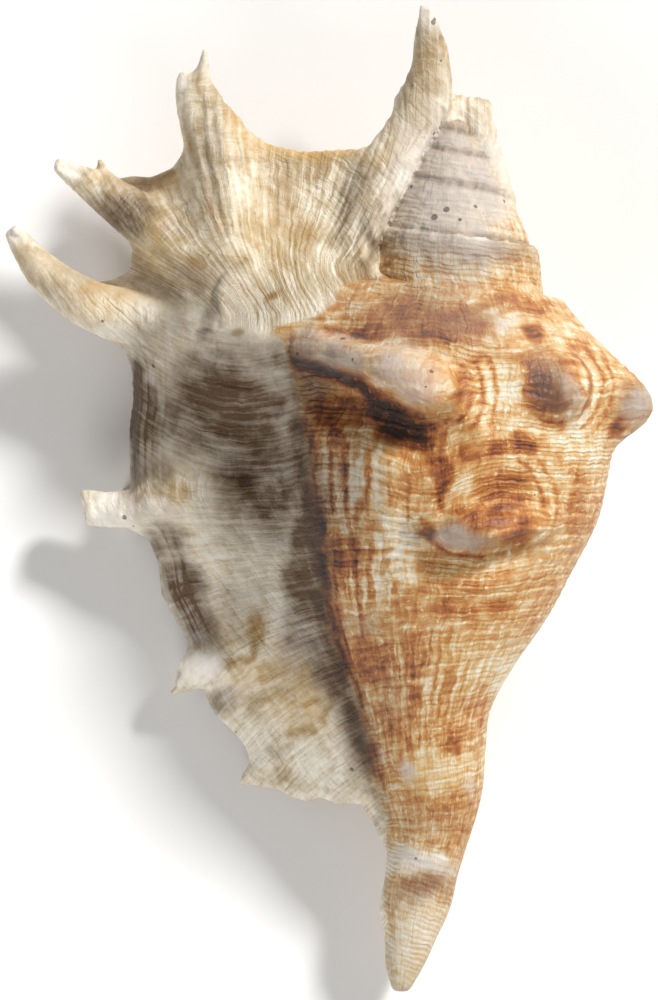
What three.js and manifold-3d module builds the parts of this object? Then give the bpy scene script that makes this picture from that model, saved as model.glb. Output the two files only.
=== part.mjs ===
// A spider conch shell lying with its opening down, seen from above with its spire at the top.
// Millimetres: +X is the knobbed side, +Y runs up to the spire, +Z is up. Z = 0 is the table.
import * as THREE from "three";
import { mergeVertices } from "three/addons/utils/BufferGeometryUtils.js";
import Module from "manifold-3d";

// Driving sizes
const WHORL_SIDES = 32;
const SPIRE_AXIS_X = 24.4;
const SPIRE_AXIS_Z = 28;
const FINGER_SIDES = 10;
const LIP_THICKNESS = 3.4;
const FLANGE_THICKNESS = 6.4;
const WING_COLUMNS = 13;
const FOOT_LEVEL = 0;

// Body whorl and canal: [y, centre x, centre z, reach right, reach left, reach up, reach down]
const BODY_STATIONS = [
  [44, 25.5, 28, 18.5, 18, 18.5, 20],
  [39, 25, 28.5, 22.5, 22, 22, 23],
  [32, 25, 29, 28, 28, 29, 27],
  [24, 25, 29, 31.6, 31, 31, 29.6],
  [14, 25, 29, 32, 31.5, 31.5, 30],
  [4, 24.5, 29, 31.2, 31, 30, 30],
  [-4, 24, 28, 29.8, 30, 28.5, 29],
  [-14, 22.5, 26.5, 26.4, 27, 26, 27.3],
  [-24, 21, 25, 22.5, 22, 22.5, 25],
  [-34, 20, 23, 16.6, 17, 18.5, 21],
  [-42, 19.2, 21, 13.2, 14, 15.5, 17.5],
  [-50, 19.3, 19, 12.1, 12, 13.5, 14.5],
  [-58, 20, 17.2, 10.8, 10.6, 11.5, 12],
  [-63, 20.2, 16, 9.6, 9.4, 9.8, 10.4],
  [-68, 20, 15, 8.2, 8.2, 8.2, 9],
  [-75, 18.6, 13.6, 7.4, 7.3, 7.2, 7.8],
  [-82, 17.3, 12.6, 7.1, 7.1, 6.6, 7],
  [-88, 16.6, 12.2, 5.2, 5.4, 5.2, 5.4],
  [-94, 15.3, 12, 3.7, 3.8, 3.8, 3.8],
  [-99.2, 14.6, 12, 1.6, 1.7, 1.8, 1.8],
];

// Spire: [y, radius], with a small step down at each suture
const SPIRE_STATIONS = [
  [78.4, 0.5],
  [76.4, 1.9],
  [73.4, 3.6],
  [70.4, 5.6],
  [69.8, 5.2],
  [66, 8.1],
  [63.4, 9.8],
  [62.8, 9.3],
  [58, 12.6],
  [53.9, 15.6],
  [53, 14.9],
  [50, 16.6],
  [46, 18.2],
  [42, 19.6],
];

// Flared lip: how far it reaches to the left at each y
const LIP_EDGE = [
  [71, -13],
  [69.6, -24],
  [66, -30.6],
  [63.4, -35],
  [58, -38],
  [51, -40],
  [45, -39.8],
  [38, -40.4],
  [30, -40.2],
  [20, -39.8],
  [10, -40],
  [2, -40],
  [-8, -36.4],
  [-15, -34.2],
  [-22, -33.2],
  [-27, -29.8],
  [-32, -27.6],
  [-40, -24.2],
  [-46, -20],
  [-49.4, -17.2],
  [-53, -15.4],
  [-57, -14.2],
  [-59.4, -9],
  [-60.8, -3],
  [-61.6, 4],
];

// Middle surface of the flared lip: rows of [x, height] at a few y, from its edge to the body
const LIP_ROWS = [
  [70.4, [[-30, 21], [-23, 26], [-14, 25], [-2, 26.5], [8, 29.5], [16, 31]]],
  [57, [[-39, 17], [-32, 22], [-25, 29], [-18, 30], [-8, 29], [3, 32], [10, 36], [14, 35]]],
  [42, [[-42, 13], [-35, 20], [-28, 27], [-23, 34], [-19, 39], [-12, 40], [-2, 42], [8, 44]]],
  [32, [[-41, 6], [-38.4, 11], [-35.6, 17], [-30, 22], [-24, 28], [-18, 36], [-10, 41], [6, 45]]],
  [24, [[-40.6, 1.5], [-38.4, 8], [-35.6, 14], [-31, 17.6], [-25, 21.8], [-18, 28.5], [-10, 34.5], [6, 41]]],
  [12, [[-40.4, 0.8], [-38.2, 8], [-35.6, 13], [-32, 16], [-26, 19.4], [-18, 23.6], [-10, 29], [7, 38]]],
  [0, [[-40.6, 0.8], [-38.4, 7.4], [-35.6, 12.6], [-31.6, 16.6], [-25, 21], [-17, 25.6], [-9, 29.6], [7, 36]]],
  [-16, [[-34.8, 0.8], [-32.6, 5.6], [-29.8, 9.6], [-25.4, 13.4], [-20, 17], [-13, 21.4], [-6, 25.6], [9, 31]]],
  [-32, [[-28.4, 2], [-26.4, 6], [-23.6, 9], [-19, 12], [-14, 14.8], [-8, 18.4], [-2, 21.8], [10, 26]]],
  [-46, [[-21, 4], [-18, 6], [-14, 8.6], [-9, 11.4], [-4, 14], [1, 16.4], [6, 18.6], [12, 20]]],
  [-61.6, [[-10, 5], [-7, 6.2], [-4, 7.6], [-1, 9], [2, 10.6], [5, 12], [8, 13.4], [12, 15]]],
];

// Fingers of the lip: [x, y, z, radius] from the tip inwards
const FINGERS = {
  spike: [
    [19.6, 98.2, 34, 1.4],
    [19.8, 94, 33.4, 2.5],
    [20.4, 88, 32, 3.7],
    [19.4, 80, 30.4, 5],
    [15, 72, 30.4, 4.8],
    [10.6, 62, 31.4, 4.4],
    [6.8, 53, 34, 3.8],
    [6, 46, 38, 3.6],
  ],
  fork: [
    [-24.8, 89.6, 31, 0.8],
    [-25.2, 84, 29.6, 1.9],
    [-24.6, 77, 27, 4.3],
    [-22, 69, 25.8, 5.6],
    [-20.8, 58, 29.4, 5.2],
    [-19.6, 48, 36, 4.2],
    [-20, 40, 39.2, 3.6],
  ],
  prong: [
    [-29.4, 84.8, 29.6, 0.9],
    [-28.6, 81, 28.4, 1.9],
    [-25.8, 75.5, 27, 3.2],
  ],
  upper: [
    [-54.2, 67, 28, 1.5],
    [-47.6, 63, 25.6, 3.2],
    [-39.4, 57.6, 23.8, 5],
    [-30, 50.4, 27.4, 5.4],
    [-22, 42, 36.4, 4],
  ],
  left: [
    [-63, 53.4, 30, 2],
    [-57, 45.6, 26.4, 3.9],
    [-48, 39.2, 22.4, 5],
    [-38, 36.4, 22.6, 6],
    [-28, 36.2, 28.4, 5.4],
    [-21.4, 37.2, 37, 3.8],
  ],
  middle: [
    [-48.4, -1.6, 12.4, 3.5],
    [-43.6, -1.8, 13.6, 3.6],
    [-36, -1.4, 16.8, 4.2],
    [-27, -0.6, 21.6, 4.2],
    [-19, 0.6, 25.4, 3.2],
  ],
  low: [
    [-29.6, -34.8, 9.6, 2.9],
    [-24.6, -32.8, 11.4, 3.5],
    [-18, -30.2, 14.4, 3.5],
    [-11, -28, 18, 3],
  ],
  spur: [
    [-31.2, -38.6, 6.4, 0.7],
    [-28.8, -37, 8, 1.2],
    [-24.6, -34, 10.6, 2],
  ],
  thorn: [
    [-17.2, -56.6, 4.4, 0.7],
    [-14.6, -54.6, 5.4, 1.3],
    [-10.6, -52, 10, 2.2],
  ],
};

// Knobs on the shoulder and the folds of callus: [x, y, z, radius]
const KNOBS = {
  crown: [
    [-6, 29.8, 42.6, 3.2],
    [1, 28.6, 48.6, 4.6],
    [9, 26.6, 56.2, 6],
    [16, 24, 60, 6.8],
    [20.4, 21.6, 61.6, 6.8],
  ],
  shoulder: [
    [39, 24, 51, 6.2],
    [45.4, 22, 49.6, 7.6],
  ],
  side: [
    [52, 21, 33, 8],
    [57.6, 19.4, 33, 6.8],
    [61.6, 18.8, 33, 3.9],
  ],
  lower: [
    [18, -3.4, 53, 4],
    [27, -6.4, 54.2, 6],
    [33, -6.6, 52.8, 6.2],
    [41, -3.8, 47.8, 5],
  ],
  callus: [
    [17.6, 79, 27, 4.2],
    [24, 78.2, 25, 3.4],
    [31.2, 78.6, 25.4, 1.6],
  ],
  ridge: [
    [29.4, 77.4, 25.4, 2.9],
    [29.8, 73, 26, 3.8],
    [32.2, 67, 26, 3.4],
    [34.8, 60, 27, 2.8],
  ],
  columella: [
    [2, 36, 16, 6],
    [-4, 20, 10, 6.6],
    [-5, 2, 8, 6.6],
    [-2, -18, 8, 6.2],
    [3, -36, 8.6, 5.4],
    [9, -54, 9.4, 4],
    [13, -66, 10, 3.4],
  ],
};

// Hollow that the animal lived in: [x, z, half length along y, half width, middle y]
const CHAMBER = [
  [-17, -4, 30, 4.6, 0],
  [-16, 8, 30, 5.4, 0],
  [-14, 13, 30, 5.6, 2],
  [-10, 19, 25, 6, 5],
  [-3, 26, 22, 6.6, 8],
  [8, 36, 20, 7.6, 10],
  [20, 46, 21, 8.6, 9],
  [32, 43, 18, 8, 11],
  [41, 34, 15, 7, 12],
  [43, 24, 11, 5.4, 13],
];

// Gutters under the fingers and along the canal: [x, y, z, radius]
const GUTTERS = [
  [
    [20, 92, 30.6, 1],
    [19, 80, 26.4, 2.2],
    [14, 66, 26, 2.8],
    [8, 56, 28, 2],
  ],
  [
    [-24.6, 80, 25.4, 1.4],
    [-23, 70, 21.6, 3],
    [-21, 58, 24, 3],
  ],
  [
    [-49, 64, 22.8, 1.2],
    [-40, 58, 20.2, 2.4],
    [-31, 51, 22.4, 3],
  ],
  [
    [-58.6, 46.6, 23.6, 1.4],
    [-48, 39.4, 17.6, 2.6],
    [-38, 36.6, 18, 3.2],
    [-29, 36, 23, 3],
  ],
  [
    [-44, -1.8, 9.4, 1.8],
    [-36, -1.4, 11.8, 2.6],
    [-28, -0.6, 17, 2.6],
  ],
  [
    [15, -95, 8.6, 1.6],
    [17, -84, 6.4, 3],
    [17, -72, 6.6, 3.2],
    [11, -58, 6, 3.4],
    [2, -44, 3, 4],
  ],
];

const wasm = await Module();
wasm.setup();

function solidFrom(geometry) {
  geometry.deleteAttribute("normal");
  geometry.deleteAttribute("uv");
  const merged = mergeVertices(geometry, 1e-4);
  const vertProperties = new Float32Array(merged.attributes.position.array);
  const triVerts = new Uint32Array(merged.index.array);
  return new wasm.Manifold(new wasm.Mesh({ numProp: 3, vertProperties, triVerts }));
}

function geometryFrom(solid) {
  const mesh = solid.getMesh();
  const geometry = new THREE.BufferGeometry();
  geometry.setAttribute("position", new THREE.BufferAttribute(new Float32Array(mesh.vertProperties), 3));
  geometry.setIndex(new THREE.BufferAttribute(new Uint32Array(mesh.triVerts), 1));
  return geometry;
}

function enclosedVolume(points, triangles) {
  let total = 0;
  for (let i = 0; i < triangles.length; i += 3) {
    const [a, b, c] = [points[triangles[i]], points[triangles[i + 1]], points[triangles[i + 2]]];
    total += a.dot(new THREE.Vector3().crossVectors(b, c)) / 6;
  }
  return total;
}

// A closed skin over a row of rings that all have the same number of points
function loft(rings) {
  const sides = rings[0].length;
  const points = rings.flat();
  const triangles = [];
  for (let row = 0; row + 1 < rings.length; row += 1) {
    for (let i = 0; i < sides; i += 1) {
      const a = row * sides + i;
      const b = row * sides + ((i + 1) % sides);
      triangles.push(a, b, b + sides, a, b + sides, a + sides);
    }
  }
  const lastRow = (rings.length - 1) * sides;
  const middleOf = (ring) => ring.reduce((sum, p) => sum.add(p), new THREE.Vector3()).divideScalar(sides);
  const firstMiddle = points.push(middleOf(rings[0])) - 1;
  const lastMiddle = points.push(middleOf(rings[rings.length - 1])) - 1;
  for (let i = 0; i < sides; i += 1) {
    const next = (i + 1) % sides;
    triangles.push(firstMiddle, next, i);
    triangles.push(lastMiddle, lastRow + i, lastRow + next);
  }
  if (enclosedVolume(points, triangles) < 0) {
    triangles.reverse();
  }
  const geometry = new THREE.BufferGeometry().setFromPoints(points);
  geometry.setIndex(triangles);
  return solidFrom(geometry);
}

// Value at x on a line through [x, value] pairs in rising or falling x
function along(pairs, x) {
  const rising = pairs[0][0] < pairs[pairs.length - 1][0];
  const list = rising ? pairs : [...pairs].reverse();
  if (x <= list[0][0]) {
    return list[0][1];
  }
  for (let i = 0; i + 1 < list.length; i += 1) {
    const [x0, v0] = list[i];
    const [x1, v1] = list[i + 1];
    if (x <= x1) {
      return v0 + ((v1 - v0) * (x - x0)) / (x1 - x0);
    }
  }
  return list[list.length - 1][1];
}

function bodyRing([y, cx, cz, right, left, up, down]) {
  const ring = [];
  for (let i = 0; i < WHORL_SIDES; i += 1) {
    const angle = (2 * Math.PI * i) / WHORL_SIDES;
    const reachX = Math.cos(angle) > 0 ? right : left;
    const reachZ = Math.sin(angle) > 0 ? up : down;
    const radius = 1 / Math.hypot(Math.cos(angle) / reachX, Math.sin(angle) / reachZ);
    ring.push(new THREE.Vector3(cx + radius * Math.cos(angle), y, cz + radius * Math.sin(angle)));
  }
  return ring;
}

function spireRing([y, radius]) {
  return bodyRing([y, SPIRE_AXIS_X, SPIRE_AXIS_Z, radius, radius, radius, radius]);
}

function lipHeight(x, y) {
  const column = LIP_ROWS.map(([rowY, profile]) => [rowY, along(profile, x)]);
  return along(column, y);
}

// One slice across the flared lip, a closed ring that runs out on top and back underneath
function lipRing(y) {
  const edge = along(LIP_EDGE, y);
  const root = along([[71, 17], [58, 14], [44, 13], [20, 9], [-20, 11], [-61.6, 15]], y);
  const above = [];
  const below = [];
  for (let i = 0; i < WING_COLUMNS; i += 1) {
    const u = i / (WING_COLUMNS - 1);
    const x = edge + (root - edge) * Math.pow(u, 1.25);
    const slope = (lipHeight(x + 0.5, y) - lipHeight(x - 0.5, y));
    const lean = Math.min(Math.hypot(1, slope), 2.6);
    const swell = Math.sin(Math.PI * Math.min(u * 1.3, 1));
    const thickness = LIP_THICKNESS + (FLANGE_THICKNESS - LIP_THICKNESS) * swell;
    const half = (i === 0 ? 0.35 : 0.5) * thickness * lean;
    above.push(new THREE.Vector3(x, y, lipHeight(x, y) + half));
    below.push(new THREE.Vector3(x, y, lipHeight(x, y) - half));
  }
  return [...above, ...below.reverse()];
}

// A round bar that follows points of [x, y, z, radius], with rounded ends
function fingerSolid(stations, stepsPerSpan = 2) {
  const curve = new THREE.CatmullRomCurve3(stations.map(([x, y, z]) => new THREE.Vector3(x, y, z)));
  const steps = (stations.length - 1) * stepsPerSpan;
  const frames = curve.computeFrenetFrames(steps, false);
  const radii = stations.map((station, i) => [i / (stations.length - 1), station[3]]);
  const ringAt = (t, frame, radius, shift) => {
    const centre = curve.getPoint(t).addScaledVector(frames.tangents[frame], shift);
    const ring = [];
    for (let i = 0; i < FINGER_SIDES; i += 1) {
      const angle = (2 * Math.PI * i) / FINGER_SIDES;
      const outward = frames.normals[frame].clone().multiplyScalar(radius * Math.cos(angle));
      outward.addScaledVector(frames.binormals[frame], radius * Math.sin(angle));
      ring.push(outward.add(centre));
    }
    return ring;
  };
  const rings = [];
  const firstRadius = stations[0][3];
  const lastRadius = stations[stations.length - 1][3];
  rings.push(ringAt(0, 0, 0.5 * firstRadius, -0.75 * firstRadius));
  for (let step = 0; step <= steps; step += 1) {
    rings.push(ringAt(step / steps, step, along(radii, step / steps), 0));
  }
  rings.push(ringAt(1, steps, 0.5 * lastRadius, 0.75 * lastRadius));
  return loft(rings);
}

function chamberSolid() {
  const rings = CHAMBER.map(([x, z, halfLength, halfWidth, middleY], i) => {
    const before = CHAMBER[Math.max(i - 1, 0)];
    const after = CHAMBER[Math.min(i + 1, CHAMBER.length - 1)];
    const heading = new THREE.Vector2(after[0] - before[0], after[1] - before[1]).normalize();
    const ring = [];
    for (let side = 0; side < 20; side += 1) {
      const angle = (2 * Math.PI * side) / 20;
      const across = halfWidth * Math.cos(angle);
      const y = middleY + halfLength * Math.sin(angle);
      ring.push(new THREE.Vector3(x - heading.y * across, y, z + heading.x * across));
    }
    return ring;
  });
  return loft(rings);
}

function belowTable() {
  const slab = new THREE.BoxGeometry(400, 400, 60);
  slab.translate(0, 0, FOOT_LEVEL - 30);
  return solidFrom(slab);
}

function shellSolid() {
  const grown = [
    loft(BODY_STATIONS.map(bodyRing)),
    loft(SPIRE_STATIONS.map(spireRing)),
    loft(LIP_EDGE.map(([y]) => lipRing(y))),
    ...Object.values(FINGERS).map((stations) => fingerSolid(stations)),
    ...Object.values(KNOBS).map((stations) => fingerSolid(stations)),
  ];
  const hollows = [
    chamberSolid(),
    ...GUTTERS.map((stations) => fingerSolid(stations, 1)),
    belowTable(),
  ];
  const whole = grown.reduce((sum, piece) => sum.add(piece));
  const carved = hollows.reduce((rest, hollow) => rest.subtract(hollow), whole);
  return largestOf(carved.decompose());
}

// The cuts can leave crumbs and bubbles, and only the shell itself is kept
function largestOf(pieces) {
  return pieces.reduce((best, piece) => (piece.volume() > best.volume() ? piece : best));
}

// Put the middle of the outline over the origin, with the feet on Z = 0
function centred(geometry) {
  geometry.computeBoundingBox();
  const { min, max } = geometry.boundingBox;
  return geometry.translate(-(min.x + max.x) / 2, -(min.y + max.y) / 2, -min.z);
}

const shell = new THREE.Mesh(
  centred(geometryFrom(shellSolid())),
  new THREE.MeshStandardMaterial({ color: 0xd8b48a, roughness: 0.5, metalness: 0 }),
);
shell.name = "shell";

const conch = new THREE.Group();
conch.add(shell);
export default conch;
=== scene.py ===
# %% [markdown]
# A spider conch shell, seen straight from above with its opening on the table. The real shell is one
# piece of lime that the animal laid down turn by turn. Here it is one mesh, grown from distance
# fields: every form is a formula that says how far a point is from its surface, and soft minimums
# and maximums melt the forms into each other as the animal does. Boxes and lofts joined by booleans
# would leave hard creases at every finger, and a tree of Geometry Nodes could sweep the coil but not
# melt knobs, fingers and lip into it.

# %% Load the frame
import bpy
import numpy as np
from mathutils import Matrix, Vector


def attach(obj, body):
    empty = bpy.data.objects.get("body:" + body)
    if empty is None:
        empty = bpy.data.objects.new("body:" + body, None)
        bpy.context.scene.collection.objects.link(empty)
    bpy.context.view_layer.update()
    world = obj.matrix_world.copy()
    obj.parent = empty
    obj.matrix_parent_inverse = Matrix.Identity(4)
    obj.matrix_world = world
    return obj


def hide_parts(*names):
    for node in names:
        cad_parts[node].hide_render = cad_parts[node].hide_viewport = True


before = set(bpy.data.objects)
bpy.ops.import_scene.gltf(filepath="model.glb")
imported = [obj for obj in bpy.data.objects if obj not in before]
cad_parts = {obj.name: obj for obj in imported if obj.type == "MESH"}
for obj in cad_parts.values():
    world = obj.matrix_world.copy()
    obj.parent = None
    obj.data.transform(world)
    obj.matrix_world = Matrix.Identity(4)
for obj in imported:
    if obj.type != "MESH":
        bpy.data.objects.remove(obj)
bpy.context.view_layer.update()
MM = 0.001

# %% [markdown]
# The camera looks straight down, as the photo does, through a long lens from far away, so that near
# and far parts keep their true sizes. A short lens would make the knobs swell. The frame is 658 by
# 1000 pixels, and the shell fills nearly all of its height.

# %% Camera
CAMERA_HEIGHT = 3.0
SHOWN_HEIGHT = 0.2000
MID_HEIGHT = 0.030


def straight_down_camera():
    lens = bpy.data.cameras.new("camera_above")
    lens.sensor_fit = "VERTICAL"
    lens.sensor_height = 24.0
    lens.lens = lens.sensor_height * (CAMERA_HEIGHT - MID_HEIGHT) / SHOWN_HEIGHT
    lens.clip_end = 20.0
    camera = bpy.data.objects.new("camera_above", lens)
    camera.location = (0.0, 0.0, CAMERA_HEIGHT)
    bpy.context.scene.collection.objects.link(camera)
    bpy.context.scene.camera = camera
    return camera


straight_down_camera()
print("lens in mm:", round(bpy.context.scene.camera.data.lens, 1))

# %% [markdown]
# Tables of stations hold the driving shape, in millimetres. A cubic through the stations
# gives a value in between without corners, where straight steps would show as flats on the shell.

# %% Smooth curves through stations
def through(knots, values, at):
    order = np.argsort(knots)
    knots = np.asarray(knots, float)[order]
    values = np.asarray(values, float)[order]
    slopes = np.gradient(values, knots, axis=0)
    at = np.clip(at, knots[0], knots[-1])
    i = np.clip(np.searchsorted(knots, at) - 1, 0, len(knots) - 2)
    span = knots[i + 1] - knots[i]
    t = (at - knots[i]) / span
    if values.ndim > 1:
        span = span[:, None]
        t = t[:, None]
    rise = (t**3 - 2 * t**2 + t) * span * slopes[i] + (t**3 - t**2) * span * slopes[i + 1]
    return (2 * t**3 - 3 * t**2 + 1) * values[i] + (3 * t**2 - 2 * t**3) * values[i + 1] + rise


def soft_min(a, b, width):
    h = np.clip(0.5 + 0.5 * (b - a) / width, 0, 1)
    return b + (a - b) * h - width * h * (1 - h)


def soft_max(a, b, width):
    return -soft_min(-a, -b, width)


def ramp(value, low, high):
    t = np.clip((value - low) / (high - low), 0, 1)
    return t * t * (3 - 2 * t)


# %% [markdown]
# The body whorl is the big last turn. Each station gives its centre and its reach to the four
# sides, from the shoulder down to the tip of the canal. A stack of quarter ellipses through these
# reaches is smooth all round.

# %% Body whorl and canal
# y, centre x, centre z, reach right, reach left, reach up, reach down
BODY_STATIONS = np.array([
    (48, 25.5, 28, 15, 15, 15, 17),
    (44, 25.5, 28, 18.5, 18, 18.5, 20),
    (39, 25, 28.5, 22.5, 22, 22, 23),
    (32, 25, 29, 28, 28, 29, 27),
    (24, 25, 29, 31.6, 31, 31, 29.6),
    (14, 25, 29, 32, 31.5, 31.5, 30),
    (4, 24.5, 29, 31.2, 31, 30, 30),
    (-4, 24, 28, 29.8, 30, 28.5, 29),
    (-14, 22.5, 26.5, 26.4, 27, 26, 27.3),
    (-24, 21, 25, 22.5, 22, 22.5, 25),
    (-34, 20, 23, 16.6, 17, 18.5, 21),
    (-42, 19.2, 21, 13.2, 14, 15.5, 17.5),
    (-50, 19.3, 19, 12.1, 12, 13.5, 14.5),
    (-58, 20, 17.2, 10.8, 10.6, 11.5, 12),
    (-63, 20.2, 16, 9.6, 9.4, 9.8, 10.4),
    (-68, 20, 15, 8.2, 8.2, 8.2, 9),
    (-75, 18.6, 13.6, 7.4, 7.3, 7.2, 7.8),
    (-82, 17.3, 12.6, 7.1, 7.1, 6.6, 7),
    (-88, 16.6, 12.2, 5.2, 5.4, 5.2, 5.4),
    (-94, 15.3, 12, 3.7, 3.8, 3.8, 3.8),
    (-98.4, 14.6, 12, 1.8, 1.9, 2, 2),
], float)
CANAL_TIP_Y = -98.9


def body_shape(y):
    return [through(BODY_STATIONS[:, 0], BODY_STATIONS[:, column], y) for column in range(1, 7)]


def body_field(x, y, z):
    centre_x, centre_z, right, left, up, down = body_shape(y)
    dx = x - centre_x
    dz = z - centre_z
    across = dx / np.where(dx > 0, right, left)
    upward = dz / np.where(dz > 0, up, down)
    share = np.maximum(np.hypot(across, upward), 1e-3)
    field = np.hypot(dx, dz) * (1 - 1 / share)
    return soft_max(field, CANAL_TIP_Y - y, 1.0)


# %% [markdown]
# The spire is the stack of older, smaller turns. The seam between two turns, the suture, runs round
# it as a screw thread, so the turn number grows both with height and with the angle round the axis.
# Each turn stands a little proud of the one above.

# %% Spire
SPIRE_AXIS = (24.4, 28.0)
SUTURE_HEIGHTS = np.array([32.0, 42.6, 53.2, 63.4, 70.0, 74.4, 77.2, 79.0])
SUTURE_TURNS = np.arange(-1.0, 7.0)
SPIRE_STATIONS = np.array([
    (78.8, 0.3),
    (76.4, 1.9),
    (73.4, 3.7),
    (70, 6.0),
    (66, 8.3),
    (63, 9.8),
    (58, 12.9),
    (53, 15.6),
    (48, 17.3),
    (42, 18.8),
    (34, 19.5),
], float)
SPIRE_TOP_Y = 78.4
SPIRE_BOTTOM_Y = 34.0
TURN_STEP = 1.4


def turn_angle(x, z, centre_x, centre_z):
    angle = np.degrees(np.arctan2(z - centre_z, x - centre_x)) - 90
    return (angle + 180) % 360 - 180


def turn_number(x, y, z):
    angle = turn_angle(x, z, SPIRE_AXIS[0], SPIRE_AXIS[1])
    return np.interp(y, SUTURE_HEIGHTS, SUTURE_TURNS) - angle / 360


def suture_distance(x, y, z):
    within = turn_number(x, y, z) % 1
    spacing = np.interp(y, SUTURE_HEIGHTS[:-1], np.diff(SUTURE_HEIGHTS))
    return np.minimum(within, 1 - within) * spacing


def spire_field(x, y, z):
    turn = turn_number(x, y, z)
    within = turn - np.floor(turn)
    step = TURN_STEP * (0.35 - within + 0.9 * within * (1 - within))
    radius = through(SPIRE_STATIONS[:, 0], SPIRE_STATIONS[:, 1], y)
    size = np.clip(radius / 14, 0.15, 1)
    field = np.hypot(x - SPIRE_AXIS[0], z - SPIRE_AXIS[1]) - radius + step * size
    return soft_max(field * 0.82, np.maximum(y - SPIRE_TOP_Y, SPIRE_BOTTOM_Y - y), 0.6)


# %% [markdown]
# The flared lip is a thin sheet. Its middle surface is a height over the table, set along rows that
# run from the edge to the body, and its outline is cut in plan. A height map is enough, because no
# part of the lip curls over itself.

# %% Flared lip
# y of the row, then x and height from the edge inwards
LIP_ROWS = [
    (84.0, [
        (-42, 16), (-30, 20), (-23, 25), (-14, 24), (-2, 25), (8, 28), (16, 29), (24, 28),
    ]),
    (70.4, [
        (-42, 16), (-30, 21), (-23, 26), (-14, 25), (-2, 26.5), (8, 29.5), (15, 31.5), (22, 31),
    ]),
    (57.0, [
        (-44, 14), (-38, 17), (-32, 22), (-25, 29), (-18, 30), (-8, 29), (3, 32), (10, 36),
        (16, 35),
    ]),
    (42.0, [
        (-46, 12), (-41, 14), (-35, 20), (-28, 27), (-23, 34), (-19, 39), (-12, 40), (-2, 42),
        (8, 44),
    ]),
    (32.0, [
        (-46, 9), (-41, 6), (-38.4, 11), (-35.6, 17), (-30, 22), (-24, 28), (-18, 36), (-10, 41),
        (-2, 43), (6, 45),
    ]),
    (24.0, [
        (-44, 0.8), (-40.6, 1.5), (-38.4, 8), (-35.6, 14), (-31, 17.6), (-25, 21.8), (-18, 28.5),
        (-10, 34.5), (-2, 38.5), (6, 41),
    ]),
    (12.0, [
        (-44, 0.6), (-40.4, 0.8), (-38.2, 8), (-35.6, 13), (-32, 16), (-26, 19.4), (-18, 23.6),
        (-10, 29), (-2, 33.6), (7, 38),
    ]),
    (0.0, [
        (-44, 0.8), (-40.6, 0.8), (-38.4, 7.4), (-35.6, 12.6), (-31.6, 16.6), (-25, 21),
        (-17, 25.6), (-9, 29.6), (-1, 33), (7, 36),
    ]),
    (-16.0, [
        (-38, 0.8), (-34.8, 0.8), (-32.6, 5.6), (-29.8, 9.6), (-25.4, 13.4), (-20, 17), (-13, 21.4),
        (-6, 25.6), (1, 29), (9, 31),
    ]),
    (-32.0, [
        (-32, 1), (-28.4, 2), (-26.4, 6), (-23.6, 9), (-19, 12), (-14, 14.8), (-8, 18.4),
        (-2, 21.8), (4, 24.4), (10, 26),
    ]),
    (-46.0, [
        (-26, 3), (-21, 4), (-18, 6), (-14, 8.6), (-9, 11.4), (-4, 14), (1, 16.4), (6, 18.6),
        (12, 20),
    ]),
    (-61.6, [
        (-20, 3), (-14, 4), (-10, 5), (-7, 6.2), (-4, 7.6), (-1, 9), (2, 10.6), (5, 12), (8, 13.4),
        (12, 15),
    ]),
]
LIP_OUTLINE = np.array([
    (12.6, 73), (8.6, 70.4), (4.2, 70.2), (-5.8, 69.8), (-11.8, 71.2), (-16.4, 73.8), (-19.6, 77),
    (-24.8, 78), (-28, 75), (-29, 70), (-31.4, 66.6), (-35.8, 64.8), (-39.4, 65.2), (-43.4, 64.6),
    (-45, 60.6), (-41.6, 55.4), (-39.6, 50.4), (-40, 46.4), (-43.4, 44.4), (-47.4, 43.8),
    (-49, 38.8), (-46, 33.4), (-41.2, 30.2), (-39.8, 26), (-39.6, 20), (-40.4, 14), (-40.4, 9),
    (-40.2, 3), (-42, 1.6), (-42, -5), (-36.4, -8), (-34.4, -13), (-33.6, -19), (-31, -24),
    (-28.4, -29.6), (-29, -32.6), (-28, -37), (-25, -38.2), (-24, -40.6), (-22.2, -44),
    (-19.6, -46.4), (-17.2, -49.2), (-15.4, -53), (-16, -55.6), (-14.4, -57), (-10.4, -58.2),
    (-7.8, -59.8), (-4.6, -60.8), (-1.6, -59.8), (2, -61.4), (6.2, -60.6), (10.6, -62.8),
    (14.6, -64), (20, -40), (20, 38), (14.2, 43), (9.4, 45.8), (7.8, 48.2), (7.6, 50.8),
    (10.2, 53.4), (12, 57.4), (12.2, 60.8), (15.6, 65.4), (16.4, 69.4), (19.4, 75),
], float)
LIP_THICKNESS = 3.0
FLANGE_THICKNESS = 6.0


def outline_distance(x, y, outline):
    nearest = np.full(np.broadcast(x, y).shape, 1e9)
    inside = np.zeros(nearest.shape, bool)
    for (ax, ay), (bx, by) in zip(outline, np.roll(outline, -1, axis=0)):
        ex, ey = bx - ax, by - ay
        t = np.clip(((x - ax) * ex + (y - ay) * ey) / (ex * ex + ey * ey), 0, 1)
        nearest = np.minimum(nearest, np.hypot(x - ax - t * ex, y - ay - t * ey))
        crosses = (ay > y) != (by > y)
        inside ^= crosses & (x < ax + (y - ay) * ex / (ey if ey else 1e-9))
    return np.where(inside, -nearest, nearest)


def blur(image, cells):
    reach = int(np.ceil(cells * 3))
    kernel = np.exp(-0.5 * (np.arange(-reach, reach + 1) / cells) ** 2)
    kernel /= kernel.sum()
    for axis in (0, 1):
        padded = np.pad(image, [(reach, reach) if a == axis else (0, 0) for a in (0, 1)], mode="edge")
        image = np.apply_along_axis(np.convolve, axis, padded, kernel, mode="valid")
    return image


# %% [markdown]
# The field is sampled on a box of cells. Cells are finer along the shell's length, because its cords
# run across it. The same box serves every form, so each form only adds to the field near itself.

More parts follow.
